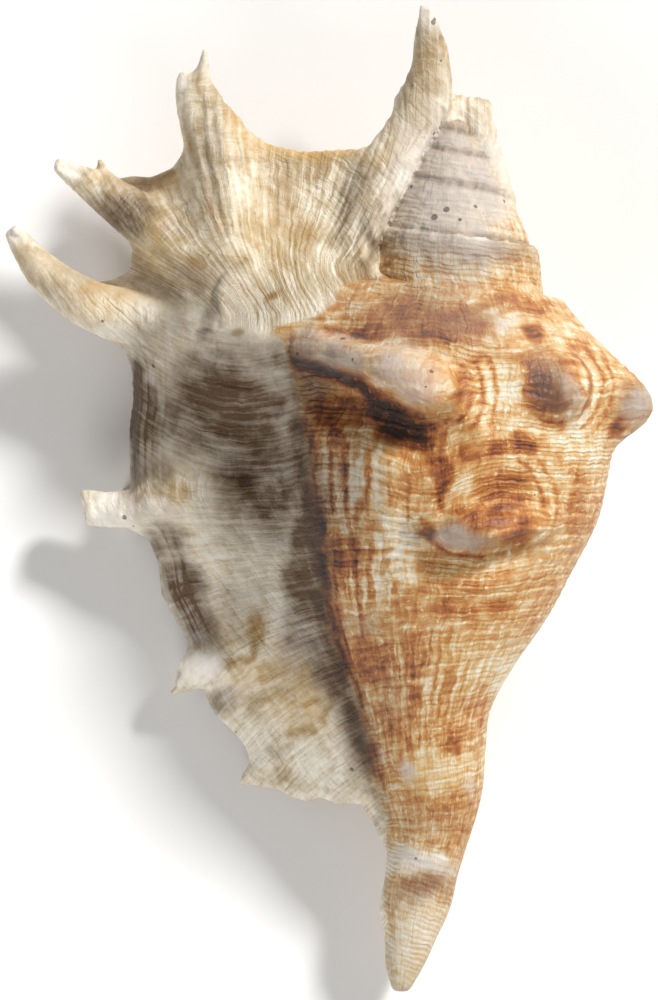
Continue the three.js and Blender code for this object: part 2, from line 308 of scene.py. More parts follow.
# %% Sampling grid and the lip's height map
GRID_LOW = np.array([-68.0, -101.0, -3.0])
GRID_HIGH = np.array([68.0, 101.5, 73.0])
CELL = np.array([0.64, 0.52, 0.64])
GRID_COUNT = np.ceil((GRID_HIGH - GRID_LOW) / CELL).astype(int) + 1
GRID_X, GRID_Y, GRID_Z = [
    (GRID_LOW[a] + CELL[a] * np.arange(GRID_COUNT[a])).astype(np.float32) for a in range(3)
]


def lip_height_map():
    rows = np.array([through(*zip(*profile), GRID_X) for _, profile in LIP_ROWS])
    heights = through([y for y, _ in LIP_ROWS], rows, GRID_Y).T
    return blur(heights, 1.6)


LIP_HEIGHT = lip_height_map()
LIP_RIM = outline_distance(GRID_X[:, None], GRID_Y[None, :], LIP_OUTLINE)
SLOPE_X, SLOPE_Y = np.gradient(LIP_HEIGHT, GRID_X, GRID_Y)
LIP_LEAN = 1 / np.sqrt(1 + SLOPE_X**2 + SLOPE_Y**2)
LIP_BODY = LIP_THICKNESS + (FLANGE_THICKNESS - LIP_THICKNESS) * ramp(-LIP_RIM, 2, 14)
print("grid cells:", GRID_COUNT)
print("lip height range in mm:", LIP_HEIGHT.min().round(1), LIP_HEIGHT.max().round(1))


def lip_field(z):
    sheet = np.abs(z[None, None, :] - LIP_HEIGHT[:, :, None]) * LIP_LEAN[:, :, None]
    return soft_max(sheet - 0.5 * LIP_BODY[:, :, None], LIP_RIM[:, :, None], 1.6)


# %% [markdown]
# Fingers, stubs and knobs are chains of tapering rounds. The path is smoothed through its stations,
# and the chain melts into what it grows from over a few millimetres.

# %% Fingers, knobs and folds as chains
# x, y, z and radius from the tip inwards
FINGERS = {
    "spike": [
        (19.6, 98.2, 34, 1.4), (19.8, 94, 33.4, 2.5), (20.4, 88, 32, 3.7), (19.4, 80, 30.4, 5),
        (15, 72, 30.4, 4.6), (10.6, 62, 31.4, 4.2), (6.8, 53, 34, 3.6), (6, 46, 38, 3.4),
    ],
    "fork": [
        (-24.8, 89.6, 31, 0.7), (-25.2, 84, 29.6, 1.8), (-24.6, 77, 27, 4.2), (-22, 69, 25.8, 5.4),
        (-20.8, 58, 29.4, 5), (-19.6, 48, 36, 4), (-20, 40, 39.4, 3.4),
    ],
    "prong": [(-29.4, 84.8, 29.6, 0.8), (-28.6, 81, 28.4, 1.9), (-25.8, 75.5, 27, 3.2)],
    "upper": [
        (-54.2, 67, 28, 1.5), (-47.6, 63, 25.6, 3.2), (-39.4, 57.6, 23.8, 4.8), (-30, 50.4, 27.4, 5.2),
        (-22, 42, 36.4, 3.8),
    ],
    "left": [
        (-63, 53.4, 30, 1.9), (-57, 45.6, 26.4, 3.8), (-48, 39.2, 22.4, 4.9), (-38, 36.4, 22.6, 5.8),
        (-28, 36.2, 28.4, 5.2), (-21.4, 37.2, 37, 3.6),
    ],
    "middle": [
        (-49, -1.6, 12.4, 3.5), (-43.6, -1.8, 13.6, 3.6), (-36, -1.4, 16.8, 4.2), (-27, -0.6, 21.6, 4.2),
        (-19, 0.6, 25.4, 3),
    ],
    "low": [
        (-29.8, -34.8, 9.6, 2.9), (-24.6, -32.8, 11.4, 3.5), (-18, -30.2, 14.4, 3.5), (-11, -28, 18, 2.8),
    ],
    "thorn": [(-17.2, -56.8, 4.4, 0.5), (-14.8, -54.8, 5.6, 1.2), (-10.6, -52, 9.6, 2)],
    "nib": [(-45.8, 67.6, 26.6, 0.7), (-44.6, 64.6, 25.4, 1.4), (-42, 60.6, 24, 2.4)],
    "spur": [(-31.4, -38.8, 6.4, 0.5), (-28.8, -37, 8, 1.2), (-24.6, -34, 10.6, 2)],
}
KNOBS = {
    "crown": [
        (-6.4, 30, 43.4, 2.4), (1, 28.8, 49.8, 2.9), (8, 27, 57, 3.9), (14.6, 24.6, 60.6, 5.6),
        (19.6, 21.6, 61.6, 6.3),
    ],
    "shoulder": [(40, 24, 51, 5.4), (45.6, 22.6, 50.8, 6.8)],
    "side": [(52, 21.4, 33, 8), (57.4, 19.4, 33, 6.6), (61, 18.8, 33, 3.8)],
    "lower": [(20, -5, 53.4, 3.8), (27, -6.2, 54.8, 5.6), (33.4, -6, 53.4, 5.8), (41, -3.4, 48, 4.8)],
    "callus": [(17.6, 79, 27, 4.2), (24, 78.2, 25, 3.4), (31.2, 78.6, 25.4, 1.5)],
    "ridge": [(29.8, 77.4, 25.4, 2.4), (30.2, 73, 25.8, 3.4), (32.2, 67, 26, 3.2), (34.8, 60, 27, 2.6)],
    "columella": [
        (2, 36, 16, 6), (-4, 20, 10, 6.6), (-5, 2, 8, 6.6), (-2, -18, 8, 6.2), (3, -36, 8.6, 5.4),
        (9, -54, 9.4, 4), (13, -66, 10, 3.4),
    ],
}
# a point on each broken end, then the way the break faces
BROKEN_ENDS = {
    "spike": (19.8, 98.6, 34, 0.2, 0.97, 0.1),
    "upper": (-54.8, 67.4, 28, -0.94, 0.3, 0.15),
    "left": (-63.8, 54.2, 30, -0.6, 0.75, 0.25),
    "middle": (-49.4, -1.6, 12.4, -0.98, -0.17, 0.1),
    "low": (-30.2, -34.6, 9.6, -0.96, 0.2, 0.2),
}
CHIPS = [
    [(-65, 53.6, 31.8, 1.1), (-61.6, 51.6, 31.6, 0.5)],
    [(-54, 66.6, 30.4, 1.3), (-49.6, 65.4, 28.6, 0.8)],
    [(-51, -1.8, 12.8, 2.1), (-47.8, -1.6, 13, 1.3)],
    [(-31.4, -34.8, 9.6, 1.7), (-28.8, -34.4, 10, 1)],
    [(22.6, 92, 34, 0.9), (24.4, 88.6, 33.4, 0.6)],
]
# over how many millimetres each chain melts into what it grows from
MELT = {
    "crown": 2.4, "shoulder": 3.8, "side": 6, "lower": 2.8, "callus": 3, "ridge": 2, "columella": 4,
    "thorn": 2, "nib": 1.5, "spur": 1.5,
}
FINGER_MELT = 4.0


def smooth_chain(stations, per_span=4):
    stations = np.array(stations, float)
    order = np.arange(len(stations))
    return through(order, stations, np.linspace(0, len(stations) - 1, (len(stations) - 1) * per_span + 1))


def chain_field(x, y, z, stations):
    chain = smooth_chain(stations).astype(np.float32)
    nearest = None
    for (ax, ay, az, ar), (bx, by, bz, br) in zip(chain[:-1], chain[1:]):
        ex, ey, ez = bx - ax, by - ay, bz - az
        t = np.clip(((x - ax) * ex + (y - ay) * ey + (z - az) * ez) / (ex * ex + ey * ey + ez * ez), 0, 1)
        gap = np.sqrt((x - ax - t * ex) ** 2 + (y - ay - t * ey) ** 2 + (z - az - t * ez) ** 2)
        gap -= ar + t * (br - ar)
        nearest = gap if nearest is None else np.minimum(nearest, gap)
    return nearest


def near_chain(stations, margin):
    stations = np.array(stations, float)
    reach = stations[:, 3].max() + margin
    cuts = []
    for axis, line in enumerate((GRID_X, GRID_Y, GRID_Z)):
        low = np.searchsorted(line, stations[:, axis].min() - reach)
        high = np.searchsorted(line, stations[:, axis].max() + reach)
        cuts.append(slice(low, max(high, low + 2)))
    return tuple(cuts)


def grid_points(cuts):
    return GRID_X[cuts[0], None, None], GRID_Y[None, cuts[1], None], GRID_Z[None, None, cuts[2]]


# %% [markdown]
# The animal lived in the hollow that opens between the lip and the middle pillar, and its siphon
# lay in the canal. Both are cut out with a soft maximum, and so are the gutters under the fingers.

# %% Hollow and gutters
# x, z, half length along y, half width, middle y
CHAMBER = np.array([
    (-17, -4, 30, 4.6, 0), (-16, 8, 30, 5.4, 0), (-14, 13, 30, 5.6, 2), (-10, 19, 25, 6, 5),
    (-3, 26, 22, 6.6, 8), (8, 36, 20, 7.6, 10), (20, 46, 21, 8.6, 9), (32, 43, 18, 8, 11),
    (41, 34, 15, 7, 12), (43, 24, 11, 5.4, 13),
], float)
HOLLOWS = [
    [(-3, 21.4, 46.8, 6.4), (6, 18, 57.6, 6.5), (15, 13.6, 62.4, 6.5), (24, 12.4, 64.2, 5.4)],
    [(33, 27, 63, 5.4), (33.4, 19, 63.6, 5.6)],
    [(22, -13.4, 57.4, 5.6), (30, -14.2, 57.2, 5.8), (38, -12, 53.2, 5.2)],
]
GUTTERS = [
    [(20, 92, 30.6, 0.9), (19, 80, 26.4, 2.2), (14, 66, 26.4, 2.6), (8, 56, 28, 1.6)],
    [(-24.6, 80, 25.4, 1.4), (-23, 70, 21.6, 3), (-21, 58, 24, 2.6)],
    [(-49, 64, 22.8, 1.2), (-40, 58, 20.2, 2.4), (-31, 51, 22.4, 2.6)],
    [(-58.6, 46.6, 23.6, 1.4), (-48, 39.4, 17.6, 2.6), (-38, 36.6, 18, 3), (-29, 36, 23, 2.6)],
    [(-44, -1.8, 9.4, 1.8), (-36, -1.4, 11.8, 2.6), (-28, -0.6, 17, 2.4)],
    [(15, -95, 8.6, 1.6), (17, -84, 6.4, 3), (17, -72, 6.6, 3.2), (11, -58, 6, 3.4), (2, -44, 3, 4)],
]


def chamber_field(x, y, z):
    path = through(np.arange(len(CHAMBER)), CHAMBER, np.linspace(0, len(CHAMBER) - 1, 28))
    best = np.full(np.broadcast(x, z).shape, 1e9)
    width, length, middle = (np.zeros_like(best) for _ in range(3))
    for (ax, az, al, aw, am), (bx, bz, bl, bw, bm) in zip(path[:-1], path[1:]):
        ex, ez = bx - ax, bz - az
        t = np.clip(((x - ax) * ex + (z - az) * ez) / (ex * ex + ez * ez), 0, 1)
        gap = np.hypot(x - ax - t * ex, z - az - t * ez)
        nearer = gap < best
        best = np.where(nearer, gap, best)
        width = np.where(nearer, aw + t * (bw - aw), width)
        length = np.where(nearer, al + t * (bl - al), length)
        middle = np.where(nearer, am + t * (bm - am), middle)
    return (np.sqrt((best / width) ** 2 + ((y - middle) / length) ** 2) - 1) * width


# %% [markdown]
# The order of the steps decides how the forms meet. Knobs melt into the whorls first, then hollows
# are pressed in beside them. The lip gets its fingers on its own, so that they don't melt into the
# spire. Last, whorls and lip join, widely below and tightly at the spire, and the openings are cut.

# %% Add the forms up
TURN_LENGTH = 9.0
BREAK_EDGE = 0.5


def add_chain(field, stations, melt):
    cuts = near_chain(stations, melt + 3)
    field[cuts] = soft_min(field[cuts], chain_field(*grid_points(cuts), stations), melt)


def press_in(field, chains, margin, melt):
    for stations in chains:
        cuts = near_chain(stations, margin)
        field[cuts] = soft_max(field[cuts], -chain_field(*grid_points(cuts), stations), melt)


def past_break(place, broken_end):
    *point, nx, ny, nz = broken_end
    return nx * (place[0] - point[0]) + ny * (place[1] - point[1]) + nz * (place[2] - point[2])


def whorls_with_knobs(x, y, z):
    body = body_field(x, y, z).astype(np.float32)
    tilt = np.gradient(body, CELL[1], axis=1)
    body /= np.sqrt(1 + tilt**2)
    turn = turn_number(x, y, z).astype(np.float32)
    body = soft_max(body, turn * TURN_LENGTH, 0.5)
    field = soft_min(body, spire_field(x, y, z).astype(np.float32), 0.35)
    for name in ("crown", "shoulder", "side", "lower", "columella"):
        add_chain(field, KNOBS[name], MELT[name])
    press_in(field, HOLLOWS, margin=6, melt=3.0)
    return field


def lip_with_fingers():
    lip = lip_field(GRID_Z).astype(np.float32)
    for name, stations in FINGERS.items():
        melt = MELT.get(name, FINGER_MELT)
        cuts = near_chain(stations, melt + 3)
        place = grid_points(cuts)
        finger = chain_field(*place, stations)
        if name in BROKEN_ENDS:
            finger = soft_max(finger, past_break(place, BROKEN_ENDS[name]), BREAK_EDGE)
        lip[cuts] = soft_min(lip[cuts], finger, melt)
    for name in ("callus", "ridge"):
        add_chain(lip, KNOBS[name], MELT[name])
    return lip


def shell_field():
    x, y, z = grid_points((slice(None),) * 3)
    field = whorls_with_knobs(x, y, z)
    at_spire = ramp(y, 38, 44)
    field = soft_min(field, lip_with_fingers(), 0.4 * at_spire + 5.0 * (1 - at_spire))
    field = soft_max(field, -chamber_field(x, y, z), 1.6)
    press_in(field, GUTTERS, margin=3, melt=1.4)
    press_in(field, CHIPS, margin=2, melt=0.3)
    return soft_max(field, -z, 0.8)


FIELD = shell_field()
print("field computed, share inside:", round(float((FIELD < 0).mean()), 3))

# %% [markdown]
# A surface net turns the field into a mesh: each cell that the surface crosses gets one point, at the
# mean of the crossings on its edges, and each crossed edge gets one four-sided face. It gives more
# even faces than marching cubes, and it is closed by construction.

# %% Surface net
CORNERS = [(i, j, k) for i in (0, 1) for j in (0, 1) for k in (0, 1)]


def cell_points(field, cells):
    total = np.zeros((len(cells), 3))
    count = np.zeros(len(cells))
    for axis in range(3):
        for corner in CORNERS:
            if corner[axis]:
                continue
            start = cells + corner
            end = start.copy()
            end[:, axis] += 1
            a = field[tuple(start.T)].astype(float)
            b = field[tuple(end.T)].astype(float)
            crossed = (a < 0) != (b < 0)
            point = start.astype(float)
            point[:, axis] += np.where(crossed, a / np.where(crossed, a - b, 1), 0)
            total += point * crossed[:, None]
            count += crossed
    return GRID_LOW + CELL * total / count[:, None]


def surface_net(field):
    inside = field < 0
    nx, ny, nz = inside.shape
    corners_in = sum(
        inside[i:nx - 1 + i, j:ny - 1 + j, k:nz - 1 + k].astype(np.int8) for i, j, k in CORNERS
    )
    mixed = (corners_in > 0) & (corners_in < 8)
    cells = np.argwhere(mixed)
    number = np.full(mixed.shape, -1, np.int64)
    number[mixed] = np.arange(len(cells))
    faces = []
    for axis in range(3):
        low = np.moveaxis(inside, axis, 0)[:-1]
        high = np.moveaxis(inside, axis, 0)[1:]
        around = np.moveaxis(number, axis, 0)
        for leaving in (True, False):
            edges = np.argwhere((low != high) & (low == leaving))
            keep = (edges[:, 1:] > 0).all(axis=1)
            keep &= (edges[:, 1] < around.shape[1]) & (edges[:, 2] < around.shape[2])
            e, u, v = edges[keep].T
            ring = [around[e, u - 1, v - 1], around[e, u, v - 1], around[e, u, v], around[e, u - 1, v]]
            forward = leaving != (axis == 1)
            faces.append(np.stack(ring if forward else ring[::-1], axis=1))
    return cell_points(field, cells), np.concatenate(faces)


POINTS, FACES = surface_net(FIELD)
print("net points and faces:", len(POINTS), len(FACES))

# %% [markdown]
# The net's points sit a little unevenly. A few rounds of sliding each point towards the mean of its
# neighbours, then back onto the surface along the field's slope, give an even skin that keeps its form.

# %% Even out the net
def corner_shares(part):
    """The eight corners of each point's cell, with the share that each has at the point."""
    for i, j, k in CORNERS:
        share = (
            (part[:, 0] if i else 1 - part[:, 0])
            * (part[:, 1] if j else 1 - part[:, 1])
            * (part[:, 2] if k else 1 - part[:, 2])
        )
        yield (i, j, k), share


def sample(volume, points):
    place = (points - GRID_LOW) / CELL
    base = np.clip(np.floor(place).astype(int), 0, np.array(volume.shape) - 2)
    total = np.zeros(len(points))
    for (i, j, k), share in corner_shares(place - base):
        total += share * volume[base[:, 0] + i, base[:, 1] + j, base[:, 2] + k]
    return total


def slope_at(volume, points, reach=0.5):
    slope = np.empty_like(points)
    for axis in range(3):
        shift = np.zeros(3)
        shift[axis] = reach
        slope[:, axis] = (sample(volume, points + shift) - sample(volume, points - shift)) / (2 * reach)
    return slope


def neighbour_mean(points, faces):
    edges = np.concatenate([faces[:, [0, 1]], faces[:, [1, 2]], faces[:, [2, 3]], faces[:, [3, 0]]])
    total = np.zeros_like(points)
    for axis in range(3):
        total[:, axis] = np.bincount(edges[:, 0], points[edges[:, 1], axis], len(points))
        total[:, axis] += np.bincount(edges[:, 1], points[edges[:, 0], axis], len(points))
    count = np.bincount(edges.ravel(), minlength=len(points))
    return total / count[:, None]


def settle(points, faces, rounds=2):
    for _ in range(rounds):
        points = points + 0.6 * (neighbour_mean(points, faces) - points)
        slope = slope_at(FIELD, points)
        steep = np.maximum((slope**2).sum(axis=1), 0.15)
        points = points - slope * np.clip(sample(FIELD, points) / steep, -0.6, 0.6)[:, None]
    return points


POINTS = settle(POINTS, FACES)
print("settled points, low and high in mm:", POINTS.min(axis=0).round(1), POINTS.max(axis=0).round(1))

# %% [markdown]
# Two directions run everywhere on a shell: along the growing edge, where growth lines lie, and across
# it, where the cords lie. Here each place gets both as lengths in millimetres, once for the whorls,
# which wind round an axis, and once for the lip, where the cords fan out from a corner. Relief and
# colour both read these lengths, so they agree, as they do on the real shell.

# %% Directions on the whorls and on the lip
# y, and how far a cord climbs in one full turn there
CORD_PITCH = np.array([
    (-98, 5), (-72, 9), (-62, -6), (-45, -15), (-20, -8), (0, -4), (20, 3), (30, 10), (42, 10),
    (60, 8), (78, 3),
], float)
GROWTH_RADIUS = 28.0
LIP_CORNER = (-19.0, 38.0)
# the fan's cords begin above a line that falls by this much for each millimetre to the right
FAN_BOTTOM_Y = 34.0
FAN_LEAN = 0.35
# the cords of the fan, numbered in millimetres where they are counted, and their x at rows of y
FAN_CORDS = [-60, -36, -27, -21, -13.6, -9.1, -3.1, 2.1, 6.7, 11.8, 30]
FAN_ROWS = [
    (74, [-80, -52, -37, -24.4, -14.4, -8.6, 1, 8.8, 13.6, 17.6, 36]),
    (68, [-76, -49, -34, -23, -14.2, -8.9, -0.8, 6.7, 11.5, 15.2, 34]),
    (60, [-70, -44, -30, -21.2, -13.8, -9, -2.4, 3.1, 7.7, 12.6, 32]),
    (54, [-62, -38, -27, -20, -13.3, -9.1, -4.3, 0.3, 4.8, 9.4, 29]),
    (49.5, [-56, -33, -24, -18.2, -12.8, -8.9, -5.4, -1.9, 2.4, 7.3, 27]),
    (46, [-48, -28, -21.5, -16.3, -12.1, -8.5, -5.1, -2.2, 1.2, 5, 25]),
    (43, [-40, -24, -19.5, -14.8, -11, -7.6, -4.3, -0.9, 2.8, 6, 26]),
    (40, [-34, -20.6, -17.5, -13, -9.6, -6.4, -2.2, 1, 4, 7, 27]),
    (37, [-30, -18.5, -16, -11, -7.6, -4.9, 0, 3, 6, 9, 29]),
]
# x, y, spread and push of the places where cords bend round a knob
CORD_BENDS = [(19, 24, 6.5, 3.6), (45, 22, 6, 3.4), (31, -5.6, 6.5, 3.6), (60, 19, 5, 2.4)]
# x, y, spread and depth of the places where cords sag
CORD_SAGS = [(20, 4, 7, 4.5)]


def whorl_directions(points):
    x, y, z = points.T
    centre_x, centre_z = body_shape(y)[:2]
    on_spire = ramp(y, 40, 46)
    centre_x = centre_x + (SPIRE_AXIS[0] - centre_x) * on_spire
    centre_z = centre_z + (SPIRE_AXIS[1] - centre_z) * on_spire
    angle = turn_angle(x, z, centre_x, centre_z)
    across = y - angle / 360 * through(CORD_PITCH[:, 0], CORD_PITCH[:, 1], y)
    for knob_x, knob_y, spread, push in CORD_BENDS:
        near = np.exp(-((x - knob_x) ** 2 + (y - knob_y) ** 2) / (2 * spread**2))
        across = across - push * (y - knob_y) / spread * near
    for sag_x, sag_y, spread, depth in CORD_SAGS:
        across = across + depth * np.exp(-((x - sag_x) ** 2 + (y - sag_y) ** 2) / (2 * spread**2))
    return across, np.radians(angle) * GROWTH_RADIUS


# y, and how steeply the cords of the lower lip rise to the right there
LIP_CORD_SLOPES = np.array([
    (-62, 1.1), (-46, 0.75), (-34, 0.5), (-22, 0.25), (-8, 0.05), (14, 0.1), (36, 0.1),
])
LIP_GROWTH_LEAN = 0.65


def fan_map():
    rows = [np.interp(GRID_X, places, FAN_CORDS) for _, places in FAN_ROWS]
    return through([y for y, _ in FAN_ROWS], np.array(rows), GRID_Y).T


FAN_MAP = fan_map()


def on_map(image, points):
    column = (points[:, 0] - GRID_LOW[0]) / CELL[0]
    row = (points[:, 1] - GRID_LOW[1]) / CELL[1]
    i = np.clip(column.astype(int), 0, image.shape[0] - 2)
    j = np.clip(row.astype(int), 0, image.shape[1] - 2)
    u, v = column - i, row - j
    low = image[i, j] * (1 - u) + image[i + 1, j] * u
    high = image[i, j + 1] * (1 - u) + image[i + 1, j + 1] * u
    return low * (1 - v) + high * v


def lip_directions(points):
    x, y = points[:, 0], points[:, 1]
    fan = y > FAN_BOTTOM_Y - FAN_LEAN * (x - LIP_CORNER[0])
    slope = through(LIP_CORD_SLOPES[:, 0], LIP_CORD_SLOPES[:, 1], y)
    dip = 0.018 * (x + 14) ** 2 * ramp(y, -6, 10)
    across = np.where(fan, on_map(FAN_MAP, points), y - slope * (x + 4) - dip)
    lower_around = LIP_CORNER[0] - x - LIP_GROWTH_LEAN * np.minimum(y, 0)
    around = np.where(fan, np.hypot(x - LIP_CORNER[0], y - LIP_CORNER[1]), lower_around)
    return across, around


# %% [markdown]
# Random but repeatable lumps come from a block of fixed random numbers, read smoothly in between.

# %% Lumps
LATTICE_SIZE = 48
LATTICE = np.random.default_rng(7).uniform(-1, 1, (LATTICE_SIZE,) * 3)


def lumps(points, size, shift=0.0):
    place = points / size + shift
    base = np.floor(place).astype(int)
    part = place - base
    part = part * part * (3 - 2 * part)
    total = np.zeros(len(points))
    for corner, share in corner_shares(part):
        i, j, k = ((base + corner) % LATTICE_SIZE).T
        total += share * LATTICE[i, j, k]
    return total


def spots(points, places):
    """Strength from 0 to 1 of soft ellipses: x, y, half width, half height, turn in degrees, strength."""
    total = np.zeros(len(points))
    for x, y, half_x, half_y, turn, strength in places:
        c, s = np.cos(np.radians(turn)), np.sin(np.radians(turn))
        dx, dy = points[:, 0] - x, points[:, 1] - y
        u = (dx * c + dy * s) / half_x
        v = (dy * c - dx * s) / half_y
        total = np.maximum(total, strength * np.exp(-((u * u + v * v) ** 1.6)))
    return total


# %% [markdown]
# Where is whorl, and where is lip? The same fields answer: a place belongs to the form it lies
# nearest to. The change is quick in the valley between them, where the photo changes from orange
# brown to white within a few millimetres.

# %% Which form a place belongs to
# x of the valley between lip and whorl at a few y
VALLEY_LINE = np.array([
    (-66, 11.4), (-60, 10.2), (-54, 9), (-48, 7.4), (-40, 5.2), (-30, 1.6), (-20, -0.9),
    (-12, -1.8), (-6, -2.2), (2, -3.6), (10, -4), (16, -5.4), (26, -8), (31, -9), (34.4, -10.4),
    (36, -4.4), (40, 0.8), (43.2, 4), (44.8, 11),
], float)


def lip_share(points):
    x, y, z = points.T
    edge = through(VALLEY_LINE[:, 0], VALLEY_LINE[:, 1], y) + 0.8 * lumps(points, 4.0, 5.0)
    left_of_valley = ramp(edge - x, -1.2, 1.2)
    spire_radius = through(SPIRE_STATIONS[:, 0], SPIRE_STATIONS[:, 1], y)
    off_spire = np.hypot(x - SPIRE_AXIS[0], z - SPIRE_AXIS[1]) - spire_radius
    beside_spire = np.where(y > 76, 1.0, ramp(off_spire, 0.2, 1.2))
    return np.where(y > 45, beside_spire, left_of_valley)


# %% [markdown]
# Cords two millimetres apart, growth ridges in the fan and worn lumps are real steps in the surface,
# so the points of the mesh move out and in along their normals. Lines finer than the mesh are left
# to the bump in the finish.

# %% Relief in the mesh
# x, y, half width, half height, turn in degrees, strength
CHALK_AND_HIGHLIGHT_SPOTS = [
    (19.6, 97, 3, 4, 0, 1), (-24.9, 88, 2.6, 3.5, 0, 0.8), (-29.4, 84, 2, 2.4, 0, 0.8),
    (-53.6, 67, 4, 2.6, -20, 0.9), (-62.6, 53.2, 3, 3.4, 40, 0.9), (-43, -1.8, 9, 4.4, 0, 0.75),
    # The spot at x 48, y 22.6 on the shoulder knob's right side is a painted highlight; the rest are worn
    # chalky lime.
    (-27, -33.8, 5.4, 3.6, 20, 1), (1, 30, 8, 3.2, -10, 1), (48, 22.6, 2.2, 3, 0, 0.5),
    (15.6, 25, 8, 4.4, -28, 1), (25.6, -7.6, 5.4, 2, -4, 0.8), (62.4, 18.6, 3, 4, 0, 0.6),
    (19, -72.6, 7, 2.2, -8, 0.95), (15.6, -54.6, 1.5, 1.7, 30, 1), (10.2, -51.8, 1.3, 1.2, 0, 0.9),
    (28.2, -57.6, 1.3, 2.2, 0, 0.9), (24.6, 62, 12, 16, 0, 1.2),
]
WHORL_CORD_GAP = 2.1
FAN_CORD_GAP = 1.6
LIP_CORD_GAP = 1.9
SPIRE_CORD_GAP = 1.5
RIM_LINE_GAP = 1.9
# how high each kind of line stands, in millimetres
WHORL_CORD_HEIGHT = 0.24
SPIRE_CORD_HEIGHT = 0.16
SEAM_DEPTH = 0.5
FAN_CORD_HEIGHT = 0.26
RIM_LINE_HEIGHT = 0.12
LIP_CORD_HEIGHT = 0.12
LIP_GROWTH_HEIGHT = 0.16
LIP_WRINKLE_HEIGHT = 0.45
# the crest beside the spire, in plan
CREST = [
    (19.6, 74.6), (17.2, 70.4), (15.4, 67.6), (14.6, 65), (12.4, 62.2), (12, 57.6), (9.2, 53.6),
    (7.6, 50.8), (7.9, 48), (9.6, 45.8),
]
# half width, height, and the line in plan that a fold or crack follows
FOLDS = [
    (0.55, -0.9, CREST),
    (0.6, 0.45, [(x - 1.3, y) for x, y in CREST]),
    (0.5, -0.7, [(-22.4, 35), (-23.6, 30), (-23.8, 26), (-21.4, 23), (-15.6, 22.2)]),
    (1.5, 0.6, [(-16.4, 46.6), (-19.6, 44.6), (-21.4, 41.6), (-21, 37.4), (-22, 33.6)]),
    (0.8, -0.5, [(-17.2, 48), (-21.4, 45.6), (-23.4, 41.8), (-22.8, 37.4), (-24, 33)]),
    (0.9, -0.7, [(-8.4, 32), (-8.6, 28.6), (-7.6, 25)]),
    (0.7, 0.5, [(-22, 84), (-21.8, 74), (-20.4, 66), (-18.6, 58)]),
    (0.8, -0.5, [(-25.6, 80), (-25, 70), (-23.4, 62), (-21, 54)]),
]


def point_normals(points, faces):
    a, b, c, d = (points[faces[:, i]] for i in range(4))
    face_normals = np.cross(c - a, d - b)
    total = np.zeros_like(points)
    for corner in range(4):
        for axis in range(3):
            total[:, axis] += np.bincount(faces[:, corner], face_normals[:, axis], len(points))
    return total / np.maximum(np.linalg.norm(total, axis=1), 1e-9)[:, None]


def ridged(length, gap):
    wave = 0.5 + 0.5 * np.cos(2 * np.pi * length / gap)
    return wave**1.5 - 0.42


def line_distance(x, y, line):
    nearest = np.full(x.shape, 1e9)
    for (ax, ay), (bx, by) in zip(line[:-1], line[1:]):
        ex, ey = bx - ax, by - ay
        t = np.clip(((x - ax) * ex + (y - ay) * ey) / (ex * ex + ey * ey), 0, 1)
        nearest = np.minimum(nearest, np.hypot(x - ax - t * ex, y - ay - t * ey))
    return nearest


def folds(points):
    x = points[:, 0] + 0.5 * lumps(points, 3.0, 7.7)
    total = np.zeros(len(points))
    for width, height, line in FOLDS:
        total += height * np.exp(-((line_distance(x, points[:, 1], line) / width) ** 2))
    return total


def whorl_relief(points, worn_and_highlight):
    x, y, z = points.T
    across, around = whorl_directions(points)
    uneven = 0.75 + 0.5 * lumps(points, 6.0)
    mid_body = ramp(y, -30, -18) * (1 - ramp(y, 26, 32))
    on_spire = ramp(y, 42, 46)
    seam = np.exp(-((suture_distance(x, y, z) / 0.6) ** 2))
    spire_cords = SPIRE_CORD_HEIGHT * ridged(across + 0.3 * lumps(points, 4, 3.3), SPIRE_CORD_GAP)
    spire_cords = spire_cords + 0.22 * lumps(points, 1.3, 5.1)
    growth = 0.10 * lumps(np.stack([around, 0.12 * y, 0 * y], axis=1), 1.6, 9.1) * ramp(y, -70, -40)
    cords = WHORL_CORD_HEIGHT * mid_body * ridged(across + 0.15 * lumps(points, 5, 3.3), WHORL_CORD_GAP)
    body = (cords * uneven + growth) * (1 - 0.8 * worn_and_highlight)
    return body + on_spire * (spire_cords - SEAM_DEPTH * seam)


def lip_relief(points):
    x, y = points[:, 0], points[:, 1]
    across, around = lip_directions(points)
    above_switch = y + FAN_LEAN * (x - LIP_CORNER[0])
    fan = ramp(above_switch, FAN_BOTTOM_Y, FAN_BOTTOM_Y + 4) * ramp(across, -27, -19)
    fan_ridges = FAN_CORD_HEIGHT * ridged(across + 0.25 * lumps(points, 7, 1.7), FAN_CORD_GAP)
    rim = outline_distance(x, y, LIP_OUTLINE)
    near_rim = ramp(rim, -9, -4) * (1 - ramp(y, 28, 40))
    rim_lines = RIM_LINE_HEIGHT * ridged(rim + 0.4 * lumps(points, 6, 4.4), RIM_LINE_GAP)
    low_lip = (1 - ramp(y, 28, 36)) * (0.6 + 0.8 * lumps(points, 9, 2.7))
    cords = LIP_CORD_HEIGHT * ridged(across + 0.5 * lumps(points, 5, 6.3), LIP_CORD_GAP)
    growth = LIP_GROWTH_HEIGHT * lumps(np.stack([around, 0.14 * across, 0 * x], axis=1), 1.5, 2.9)
    wrinkles = LIP_WRINKLE_HEIGHT * lumps(np.stack([around, 0.22 * across, 0 * x], axis=1), 4.2, 5.9)
    return fan * fan_ridges + near_rim * rim_lines + (cords + growth + wrinkles) * low_lip


